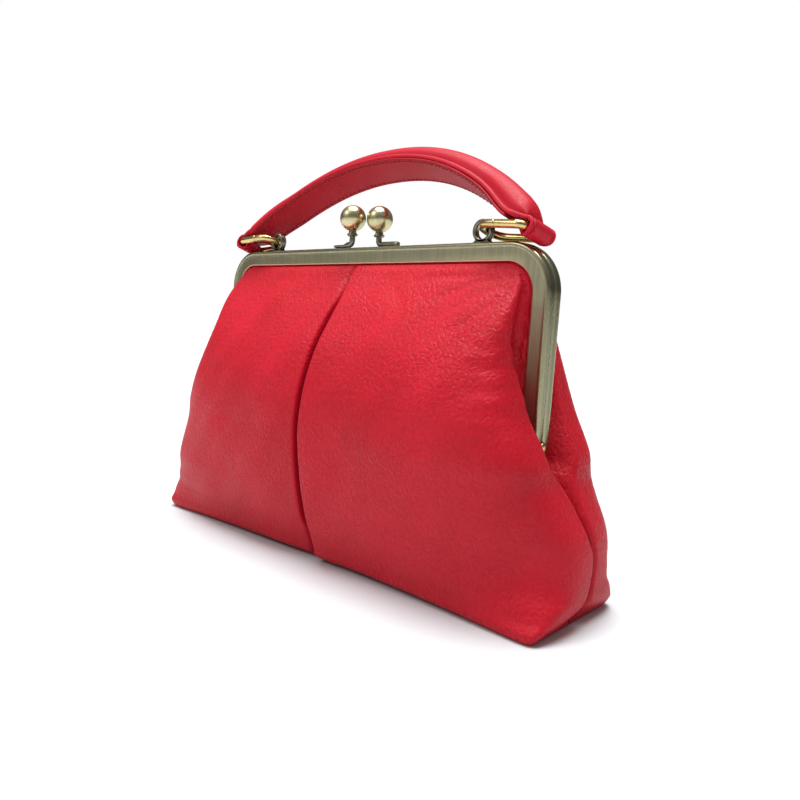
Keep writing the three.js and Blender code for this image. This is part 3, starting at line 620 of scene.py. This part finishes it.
# Frame half: a channel with a bulged rim carried round the outline.
def frameShape(side):
    m = metal
    corner = np.radians(np.linspace(0, 90, 25))
    armX, armZ = m["half"] - m["toe"], m["foot"]
    bend = m["top"] - m["radius"]
    arm = np.linspace(0, 1, 12, endpoint=False)[:, None]
    right = np.concatenate([
        np.hstack([armX + (m["half"] - armX) * arm, armZ + (bend - armZ) * arm, 1 + 0 * arm, 0 * arm]),
        np.stack([m["half"] - m["radius"] * (1 - np.cos(corner)), bend + m["radius"] * np.sin(corner),
                  np.cos(corner), np.sin(corner)], -1)])
    top = np.linspace(m["half"] - m["radius"], -(m["half"] - m["radius"]), 30)[1:-1]
    bar = np.stack([top, np.full_like(top, m["top"]), 0 * top, 1 + 0 * top], -1)
    path = np.concatenate([right, bar, (right * np.array([-1, 1, -1, 1]))[::-1]])
    places = np.stack([path[:, 0], 0 * path[:, 0], path[:, 1]], -1)
    inward = -np.stack([path[:, 2], 0 * path[:, 0], path[:, 3]], -1)
    front = np.tile([0.0, float(side), 0.0], (len(path), 1))
    turnIn = np.radians([0, 18, 36, 54, 72, 90])
    rim, depth, face, wall, leg, part = (m[k] for k in ("rim", "depth", "face", "wall", "leg", "parting"))
    profile = np.concatenate([
        [[inset, part + rise] for inset, rise in frameEdges["parting"]],
        [[0, depth - rim - frameEdges["rimFlat"]]],
        np.stack([rim * (1 - np.cos(turnIn)), depth - rim + rim * np.sin(turnIn)], -1),
        [[rim + past, depth - drop] for past, drop in frameEdges["upper"]],
        [[face - short, depth - drop] for short, drop in frameEdges["lower"]],
        [[face, depth - wall], [wall, depth - wall], [wall, part + wall], [leg, part + wall], [leg, part]]])
    return carried(places, inward, front, profile, profileUv=profile[:, 0])


# Bands of the frame: insets in mm from its outer edge, and distances from the middle plane in metres.
bandLook = {
    # rim is a darker colour, painted shade on the rims and the outer side.
    "rimFrom": 0.9, "rimTo": 1.7, "rim": (0.33, 0.31, 0.19), "rimShine": -0.12,
    # paintedReflection is the red leather's reflection painted on the face's lower edge.
    "reflectionFrom": 6.75, "reflectionTo": 7.0, "paintedReflection": (0.62, 0.33, 0.20),
    # The band of painted shade along the middle of the outer side: its edges, reach and colour.
    "hollowFrom": (0.0009, 0.0013), "hollowTo": (0.0032, 0.0027), "hollowInset": 0.3, "hollowShare": 0.8,
    "hollow": (0.20, 0.19, 0.12),
}


# The face is brushed upright; its rims are smoother and painted darker as shade, its lower edge has a painted
# reflection of the red leather, and the outer side has painted shade in a band along its middle. The surface
# coordinate is the inset in mm.
def frameBands(finish):
    look = bandLook
    inset = finish.surface()
    colour = finish.shader.inputs["Base Color"].links[0].from_socket
    rough = finish.shader.inputs["Roughness"].links[0].from_socket
    rim = finish.range(inset, look["rimFrom"], look["rimTo"], 1.0, 0.0)
    paintedReflection = finish.range(inset, look["reflectionFrom"], look["reflectionTo"])
    # Painted shade: the rims and the outer side are darker.
    colour = finish.mix(rim, colour, look["rim"])
    # Painted reflection of the red leather on the face's lower edge.
    colour = finish.mix(paintedReflection, colour, look["paintedReflection"])
    # Painted shade in a band along the middle of the outer side.
    across = finish.math("ABSOLUTE", finish.axis(finish.place(), 1))
    hollow = finish.range(across, *look["hollowFrom"])
    hollow = finish.math("MULTIPLY", hollow, finish.range(across, *look["hollowTo"]))
    outside = finish.range(inset, 0.0, look["hollowInset"], look["hollowShare"], 0.0)
    colour = finish.mix(finish.math("MULTIPLY", hollow, outside), colour, look["hollow"])
    smoother = finish.math("MULTIPLY", rim, look["rimShine"])
    finish.shade(Base_Color=colour, Roughness=finish.math("ADD", smoother, rough))
    return finish.material


frameBrass = frameBands(frameFinish)
addPiece("frameFront", frameShape(-1), frameBrass, ["frame_front"], 35)
addPiece("frameBack", frameShape(1), frameBrass, ["frame_back"], 35)

# Clasp: two balls on bent necks. The left neck's foot is hammered flat. The collar is radius and height from
# the post's top.
clasp = {
    "radius": 5.9, "left": (-7.3, -2.4, 153.4), "right": (5.2, 2.4, 152.9),
    "leftFoot": -18.9, "rightFoot": 17.5, "wire": 1.3, "bend": 1.8, "gap": 0.3, "seat": 0.15, "postGap": 0.6,
    "tip": 0.25, "pole": 0.03,
    "flatShare": 0.45, "flatFrom": 2.5, "flatTo": 5.5,
    "collar": [(1.0, -1.85), (1.8, -1.8), (2.3, -1.5), (2.5, -1.15), (2.4, -0.75), (1.95, -0.55), (1.8, -0.2),
               (1.75, 0.3), (1.65, 0.62)],
}


# Ball: radius = r sin t, height = -r cos t, with a small flat at the poles.
def ballShape(place):
    t = np.linspace(clasp["pole"], np.pi - clasp["pole"], 40)
    r = clasp["radius"]
    return turned(np.stack([r * np.sin(t), -r * np.cos(t)], -1), np.array(place), (0, 0, 1), (1, 0, 0), 56)


# Neck: a round wire from its foot through a bend to the post, with a turned collar.
def neckShape(place, foot, flat):
    x, y, z = place
    low = metal["top"] + clasp["seat"] + clasp["wire"]
    high = z - clasp["radius"] - clasp["gap"]
    towards = np.sign(x - foot)
    turn = np.radians(np.linspace(0, 90, 14))
    run = np.linspace(foot, x - towards * clasp["bend"], 12)
    post = np.linspace(low + clasp["bend"], high - clasp["postGap"], 5)[1:]
    pathX = np.concatenate([run, x - towards * clasp["bend"] * (1 - np.sin(turn[1:])), 0 * post + x])
    pathZ = np.concatenate([0 * run + low, low + clasp["bend"] * (1 - np.cos(turn[1:])), post])
    places = np.stack([pathX, 0 * pathX + y, pathZ], -1)
    radius = np.full(len(places), clasp["wire"])
    radius[0] -= clasp["tip"]
    neck = wire(places, np.array([0.0, 1.0, 0.0]), radius, 20)
    if flat:
        pointX, pointZ = neck["points"][:, 0], neck["points"][:, 2]
        squeeze = 1 - clasp["flatShare"] * smoothStep(np.abs(pointX - x), clasp["flatFrom"], clasp["flatTo"])
        bottom = low - clasp["wire"]
        squeezed = bottom + (pointZ - bottom) * squeeze
        neck["points"][:, 2] = np.where(pointZ < low + clasp["wire"] + 0.01, squeezed, pointZ)
    collar = turned(clasp["collar"], np.array([x, y, high]), (0, 0, 1), (1, 0, 0), 28)
    return joined([neck, collar])


for name in ("left", "right"):
    ball = ballShape(clasp[name])
    addPiece("claspBall" + name.title(), ball, ballBrass, ["clasp_ball_" + name])
    neck = neckShape(clasp[name], clasp[name + "Foot"], name == "left")
    addPiece("claspNeck" + name.title(), neck, darkBrass, ["clasp_neck_" + name])

# Eyes: a rounded strip bent round a hole, with a flared foot on the frame.
eye = {"x": 65.7, "lift": 4.7, "hole": 3.1, "outer": 4.6, "length": 3.0, "foot": 4.2, "seat": 0.2, "edge": 0.35,
       "groove": 0.3, "waist": 1.3, "sunk": 0.15, "footRows": 9}


def eyeShape(side):
    angle = np.linspace(0, 2 * np.pi, 73)[:-1]
    middle = (eye["hole"] + eye["outer"]) / 2
    centre = np.array([side * eye["x"], 0, metal["top"] + eye["lift"]])
    spoke = np.stack([np.cos(angle), 0 * angle, np.sin(angle)], -1)
    half, thick = eye["length"] / 2, (eye["outer"] - eye["hole"]) / 2
    b = eye["edge"]
    strip = np.array([(-half, -thick + b), (-half + b, -thick), (half - b, -thick), (half, -thick + b),
                      (half, thick - b), (half - b, thick), (b, thick), (0, thick - eye["groove"]), (-b, thick),
                      (-half + b, thick), (-half, thick - b)])
    band = carried(centre + middle * spoke, np.tile([0.0, 1.0, 0.0], (len(angle), 1)), spoke, strip, True)
    footLevel = metal["top"] + eye["seat"]
    rows = eye["footRows"]
    t = np.linspace(0, 1, rows)
    width = eye["foot"] - eye["waist"] * np.sin(t * np.pi / 2) ** 0.8
    height = t * (eye["lift"] - eye["hole"] - eye["seat"] - eye["sunk"])
    block = np.array([(-1, -1), (1, -1), (1, 1), (-1, 1)], float)
    points = np.stack(np.broadcast_arrays(
        side * eye["x"] + block[None, :, 0] * width[:, None],
        block[None, :, 1] * half,
        footLevel + height[:, None]), -1)
    caps = [np.arange(4)[::-1], np.arange(4) + 4 * (rows - 1)]
    return joined([band, asShape(points, gridQuads(rows, 4, False, True), caps)])


# Handle: all its pieces lean back together about the strap's foot line.
lean = {"angle": 24.2, "y": -1.7, "z": 141.8}
leanTurn = np.array(Matrix.Rotation(-np.radians(lean["angle"]), 3, "X"))


# The ends and the rings lie flatter than the middle: they are turned back about X by a share of settle's
# turn, and the strap's ends are sheared by its yaw.
settle = {"turn": 7.7, "yaw": 0.16, "from": 60, "to": 86, "y": 0.3, "z": 2.0}


def leaned(shape, rigid=False):
    x, y, z = shape["points"].T
    share = 1 if rigid else smoothStep(np.abs(x), settle["from"], settle["to"])
    turn = np.radians(settle["turn"]) * share
    y, z = y - settle["y"], z - settle["z"]
    x = x if rigid else x + np.sign(x) * share * settle["yaw"] * y
    flat = np.stack([x, settle["y"] + y * np.cos(turn) - z * np.sin(turn),
                     settle["z"] + y * np.sin(turn) + z * np.cos(turn)], -1)
    shape["points"] = flat @ leanTurn.T + np.array([0, lean["y"], lean["z"]])
    return shape


ring = {"wire": 1.65, "half": 7.0, "eyeX": 66.8, "eyeY": 0.3, "eyeZ": 3.7, "barX": 90.0, "barZ": 2.1,
        "corner": 3.5, "split": 76.5, "splitWide": 0.22, "splitRun": 0.9, "splitDeep": 0.16}


# D-ring: half a circle through the eye, two straight sides, and a bar with rounded corners, with a split.
def ringShape(side):
    def arc(cx, cy, radius, start, end, count):
        t = np.radians(np.linspace(start, end, count))
        return np.stack([cx + radius * np.cos(t), cy + radius * np.sin(t)], -1)

    h, c = ring["half"], ring["corner"]
    bow = arc(ring["eyeX"] + h, ring["eyeY"], h, 90, 270, 40)
    splitRun = ring["split"] + np.linspace(-1, 1, 21) * ring["splitRun"]
    straight = np.stack([splitRun, np.full_like(splitRun, ring["eyeY"] - h)], -1)
    low = arc(ring["barX"] - c, ring["eyeY"] - h + c, c, -90, 0, 14)
    high = arc(ring["barX"] - c, ring["eyeY"] + h - c, c, 0, 90, 14)
    flat = np.concatenate([bow, straight, low, high])
    slope = (ring["barZ"] - ring["eyeZ"]) / (ring["barX"] - ring["eyeX"])
    past = flat[:, 0] - ring["eyeX"]
    skew = settle["yaw"] * (flat[:, 1] - ring["eyeY"]) * past / (ring["barX"] - ring["eyeX"])
    places = np.stack([side * (flat[:, 0] + skew), flat[:, 1], ring["eyeZ"] + slope * past], -1)
    away = np.abs(flat[:, 0] - ring["split"]) + np.where(flat[:, 1] < ring["eyeY"] - h + 0.01, 0, ring["half"])
    radius = ring["wire"] * (1 - ring["splitDeep"] * np.exp(-(away / ring["splitWide"]) ** 2))
    return leaned(wire(places, np.array([0.0, 0.0, 1.0]), radius, 24, True), True)


for name, side in (("left", -1), ("right", 1)):
    addPiece("eye" + name.title(), eyeShape(side), darkBrass, ["eye_" + name], 50)
    addPiece("ring" + name.title(), ringShape(side), ringBrass, ["ring_" + name], 60)

# Hinge rivets at the arms' feet.
rivet = {"level": 64.0, "core": 0.3, "shank": 1.1, "head": 2.3, "headEdge": 0.1, "brim": 0.25, "height": 1.0,
         "length": 2.4, "seat": 0.15}
for name, side in (("left", -1), ("right", 1)):
    armX = float(frameOutline(np.array([rivet["level"]]), 0)[0][0])
    cap = np.radians(np.linspace(0, 88, 10))
    domeHigh = rivet["seat"] + rivet["brim"] + (rivet["height"] - rivet["brim"]) * np.sin(cap)
    profile = np.concatenate([
        [(rivet["core"], -rivet["length"]), (rivet["shank"], -rivet["length"]), (rivet["shank"], rivet["seat"]),
         (rivet["head"] - rivet["headEdge"], rivet["seat"])],
        np.stack([rivet["head"] * np.cos(cap), domeHigh], -1)])
    pin = turned(profile, np.array([side * armX, 0, rivet["level"]]), (side, 0, 0), (0, 1, 0), 28)
    addPiece("hingeRivet" + name.title(), pin, ringBrass, ["hinge_rivet_" + name])

arch = {"rise": 38.7, "reach": 87.3, "power": 2.13, "blend": 1.6, "turnBlend": 3.4}
loop = {"x": 90.3, "z": 2.1, "inner": 2.25, "fall": np.radians(7), "from": 83.0, "to": 90.0}
touchX = loop["x"] + loop["inner"] * np.sin(loop["fall"])
# Half sections, across and height: the flange from its underside to the valley beside the padding, and the
# lining from its upper side round its edge to past its stitches.
strap = {
    "half": 8.4, "loopHalf": 6.8, "tailHalf": 4.3, "tail": 3.2, "wrap": 232, "thick": 2.0, "loopThick": 1.5,
    "domeHalf": 6.3, "domeHigh": 8.0, "domeStart": 77, "domeEnd": 88.5, "footPull": 0.1, "liningEnd": 82,
    "flange": [(7.9, 0.15), (8.28, 0.35), (8.4, 0.9), (8.28, 1.65), (7.95, 2.0), (7.4, 1.95), (6.7, 1.5),
               (6.15, 1.0)],
    "lining": [(8.1, -0.15), (8.4, -0.45), (8.4, -0.95), (8.0, -1.3), (7.0, -1.18), (6.5, -1.3)],
    "liningLow": -1.3,
}


# Height of the strap's seam line, z = rise (1 - |x / reach|^power), and its slope.
def archHeight(x):
    return arch["rise"] * (1 - np.abs(x / arch["reach"]) ** arch["power"])


def archSlope(x):
    steepest = arch["rise"] * arch["power"] / arch["reach"]
    return -np.sign(x) * steepest * np.abs(x / arch["reach"]) ** (arch["power"] - 1)


# Share of the padding left at x: a quarter circle from its start of falling to its end.
def padding(x):
    past = np.clip((x - strap["domeStart"]) / (strap["domeEnd"] - strap["domeStart"]), 0, 1)
    return np.sqrt(1 - past ** 2)


# Underside of the strap from the middle to the turn round the bar: the softened greater of the arch and the
# straight tab, z = arch + blend log(1 + exp((tab - arch) / blend)), and its slope, which turns over a longer
# stretch.
def strapLine(x):
    fall = np.tan(loop["fall"])
    above = loop["z"] + loop["inner"] * np.cos(loop["fall"]) + (touchX - x) * fall - archHeight(x)
    z = archHeight(x) + arch["blend"] * np.log1p(np.exp(above / arch["blend"]))
    over = np.exp(above / arch["turnBlend"])
    slope = (archSlope(x) - fall * over) / (1 + over)
    return z, slope


# Stations of the strap from the middle to the right end: arch, straight tab, turn round the ring's bar, tail.
# Columns: x, z, outX, outZ, half width, padding share, leather.
def strapEnd():
    x = np.concatenate([np.linspace(0, 74, 54), np.linspace(74, touchX, 50)[1:-1]])
    z, slope = strapLine(x)
    size = np.hypot(1, slope)
    thin = smoothStep(x, loop["from"], loop["to"])
    width = strap["half"] + (strap["loopHalf"] - strap["half"]) * thin
    leather = strap["thick"] + (strap["loopThick"] - strap["thick"]) * thin
    bow = np.stack([x, z, -slope / size, 1 / size, width, padding(x), leather], -1)
    part = np.linspace(0, 1, 34)
    angle = np.pi / 2 - loop["fall"] - part * np.radians(strap["wrap"])
    narrow = strap["loopHalf"] + (strap["tailHalf"] - strap["loopHalf"]) * smoothStep(part, 0.5, 1)
    wrap = np.stack([loop["x"] + loop["inner"] * np.cos(angle), loop["z"] + loop["inner"] * np.sin(angle),
                     np.cos(angle), np.sin(angle), narrow, 0 * part, 0 * part + strap["loopThick"]], -1)
    last = wrap[-1]
    tail = np.repeat(last[None], 5, 0)
    reach = np.linspace(0, strap["tail"], 6)[1:]
    tail[:, 0] += last[3] * reach
    tail[:, 1] -= last[2] * reach
    return np.concatenate([bow, wrap, tail])


# Strap section: a flange with rounded edges and an elliptic dome between two valleys.
def strapShape():
    end = strapEnd()
    left = end[1:][::-1] * np.array([-1, 1, -1, 1, 1, 1, 1])
    path = np.concatenate([left, end])
    t = np.linspace(-1, 1, 45)
    pull = 1 - strap["footPull"] * smoothStep(np.abs(t), 0.7, 1)
    dome = np.stack([strap["domeHalf"] * np.sin(t * np.pi / 2) * pull,
                     strap["thick"] + strap["domeHigh"] * np.cos(t * np.pi / 2)], -1)
    thick = strap["thick"]
    edge = np.array(strap["flange"])
    outline = np.concatenate([edge * np.array([-1, 1]), dome, edge[::-1]])
    scale = path[:, 4] / strap["half"]
    y = outline[None, :, 0] * scale[:, None]
    raised = np.maximum(outline[:, 1] - thick, 0)
    level = outline[None, :, 1] - raised[None] * (1 - path[:, 5])[:, None]
    level = level - np.minimum(outline[:, 1], thick)[None] * (1 - path[:, 6] / thick)[:, None]
    places = np.stack([path[:, 0], 0 * path[:, 0], path[:, 1]], -1)
    across = np.tile([0.0, 1.0, 0.0], (len(path), 1))
    up = np.stack([path[:, 2], 0 * path[:, 0], path[:, 3]], -1)
    return leaned(carried(places, across, up, np.stack([y, level], -1)))


# Places along the strap's underside, with the way along it and the way up from it.
def archFrames(x):
    z, slope = strapLine(np.abs(x))
    slope = slope * np.sign(x)
    size = np.hypot(1, slope)
    places = np.stack([x, 0 * x, z], -1)
    along = np.stack([1 / size, 0 * x, slope / size], -1)
    up = np.stack([-slope / size, 0 * x, 1 / size], -1)
    return places, along, up


# Lining: a thin strip under the strap with rounded edges.
def liningShape():
    x = np.linspace(-strap["liningEnd"], strap["liningEnd"], 140)
    places, _, up = archFrames(x)
    edge = np.array(strap["lining"])
    profile = np.concatenate([edge, (edge * np.array([-1, 1]))[::-1]])
    return leaned(carried(places, np.tile([0.0, 1.0, 0.0], (len(x), 1)), up, profile))


# Stitches: short bowed capsules in rows along the strap's edges, under the lining and on the flange.
stitch = {
    "span": 76, "pitch": 2.7, "long": 1.9, "thick": 0.28, "bow": 0.08, "rings": 5, "sides": 6, "ends": 0.08,
    "rows": [{"level": strap["liningLow"] - 0.02, "aside": 1.5, "span": 76},
             {"level": strap["thick"] - 0.05, "aside": 1.45, "span": 62}],
}


def stitchShape():
    fine = np.linspace(-stitch["span"], stitch["span"], 2000)
    length = np.concatenate([[0], np.cumsum(np.hypot(np.diff(fine), np.diff(archHeight(fine))))])
    count = int(length[-1] / stitch["pitch"])
    x = np.interp((np.arange(count) + 0.5) * length[-1] / count, length, fine)
    rings, sides = stitch["rings"], stitch["sides"]
    t = np.linspace(-1, 1, rings)
    angle = np.arange(sides) / sides * 2 * np.pi
    radius = stitch["thick"] * np.sqrt(np.maximum(1 - t ** 4, stitch["ends"]))[:, None]
    ahead = (t * stitch["long"] / 2)[None, :, None, None]
    size = rings * sides
    quads = gridQuads(rings, sides, False, True)
    caps = (np.arange(sides)[::-1], np.arange(sides) + size - sides)
    shapes = []
    for side in (-1, 1):
        for row in stitch["rows"]:
            places, along, up = (part[:, None, None] for part in archFrames(x[np.abs(x) < row["span"]]))
            height = (row["level"] + np.sign(row["level"]) * stitch["bow"] * (1 - t ** 2))[:, None]
            aside = side * (strap["half"] - row["aside"]) + radius * np.cos(angle)
            spot = (places + along * ahead + up * (height + radius * np.sin(angle))[None, :, :, None]
                    + np.array([0, 1, 0]) * aside[None, :, :, None])
            starts = size * np.arange(len(places))
            rowQuads = (quads[None] + starts[:, None, None]).reshape(-1, 4)
            shapes.append(asShape(spot.reshape(-1, 3), rowQuads, [cap + k for k in starts for cap in caps]))
    return leaned(joined(shapes))


handleStrap = addPiece("handleStrap", strapShape(), handleLeather, ["handle_strap"], 50)
addPiece("handleLining", liningShape(), liningLeather, ["handle_lining"], 50)
addPiece("handleStitches", stitchShape(), threadFinish.material, (), 60)

# Floor, light and camera.
studio = {"floor": 40.0, "white": (0.66, 0.69, 0.71), "cloud": 0.985, "sky": 0.32, "low": 0.05, "backdrop": 1.0}
reach = studio["floor"]
floorMesh = bpy.data.meshes.new("floor")
floorMesh.from_pydata(
    [(-reach, -reach, 0), (reach, -reach, 0), (reach, reach, 0), (-reach, reach, 0)], [], [(0, 1, 2, 3)])
floor = bpy.data.objects.new("floor", floorMesh)
bpy.context.scene.collection.objects.link(floor)
floorFinish = Finish("paleFloor")
cloudy = tuple(studio["cloud"] * part for part in studio["white"])
floorFinish.shade(Roughness=0.6, Specular_IOR_Level=0.2, Base_Color=floorFinish.ramp(
    floorFinish.noise(floorFinish.place(), 3), [(0.3, cloudy), (0.7, studio["white"])]))
floorMesh.materials.append(floorFinish.material)

suns = {
    "keySun": {"from": (-0.08, 0.03, 1.0), "power": 4.75, "spread": 42},
    "frontSun": {"from": (-0.4, -0.85, 0.7), "power": 0.25, "spread": 60},
}
softbox = {"at": (-0.5, -0.9, 1.0), "to": (0, 0, 0.12), "size": 0.45, "watts": 3}


def facing(back, roll=0.0):
    back = np.asarray(back, float) / np.linalg.norm(back)
    right = np.cross([0, 0, 1], back)
    right /= np.linalg.norm(right)
    up = np.cross(back, right)
    c, s = np.cos(roll), np.sin(roll)
    return np.stack([right * c + up * s, up * c - right * s, back], 1)


def placed(obj, at, turn):
    matrix = np.eye(4)
    matrix[:3, :3] = turn
    matrix[:3, 3] = at
    obj.matrix_world = Matrix(matrix.tolist())
    bpy.context.scene.collection.objects.link(obj)


for name, sun in suns.items():
    light = bpy.data.lights.new(name, "SUN")
    light.energy, light.angle = sun["power"], np.radians(sun["spread"])
    placed(bpy.data.objects.new(name, light), sun["from"], facing(sun["from"]))
box = bpy.data.lights.new("softbox", "AREA")
box.shape, box.size, box.energy = "SQUARE", softbox["size"], softbox["watts"]
placed(bpy.data.objects.new("softbox", box), softbox["at"], facing(np.subtract(softbox["at"], softbox["to"])))

# The sky is brighter overhead than at the horizon, and the backdrop behind the bag is plain white.
world = bpy.data.worlds.new("studio")
bpy.context.scene.world = world
world.use_nodes = True
tree = world.node_tree
ground = tree.nodes["Background"]
ground.inputs["Color"].default_value = (1, 1, 1, 1)
way = tree.nodes.new("ShaderNodeSeparateXYZ")
tree.links.new(tree.nodes.new("ShaderNodeTexCoord").outputs["Generated"], way.inputs[0])
height = tree.nodes.new("ShaderNodeMapRange")
tree.links.new(way.outputs[2], height.inputs[0])
for key, value in ((1, -0.1), (2, 0.8), (3, studio["low"]), (4, studio["sky"])):
    height.inputs[key].default_value = value
seen = tree.nodes.new("ShaderNodeMix")
tree.links.new(tree.nodes.new("ShaderNodeLightPath").outputs["Is Camera Ray"], seen.inputs[0])
tree.links.new(height.outputs[0], seen.inputs[2])
seen.inputs[3].default_value = studio["backdrop"]
tree.links.new(seen.outputs[0], ground.inputs["Strength"])
bpy.context.scene.view_settings.view_transform = "Standard"

shot = {"azimuth": 43.161, "elevation": 6.825, "roll": 2.787, "distance": 332.946, "aside": 18.419,
        "high": 71.488, "focal": 714.964, "picture": 800, "sensor": 36.0}
azimuth, elevation = np.radians(shot["azimuth"]), np.radians(shot["elevation"])
outward = np.cos(elevation)
backward = np.array([np.sin(azimuth) * outward, -np.cos(azimuth) * outward, np.sin(elevation)])
sideways = np.array([np.cos(azimuth), np.sin(azimuth), 0])
eyePoint = sideways * shot["aside"] + np.array([0, 0, shot["high"]]) + backward * shot["distance"]
cameraData = bpy.data.cameras.new("camera")
cameraData.sensor_width = shot["sensor"]
cameraData.lens = shot["focal"] / shot["picture"] * shot["sensor"]
cameraData.clip_start, cameraData.clip_end = 0.01, 50
camera = bpy.data.objects.new("camera", cameraData)
placed(camera, eyePoint * millimetre, facing(backward, np.radians(shot["roll"])))
bpy.context.scene.camera = camera
print("camera and light placed")
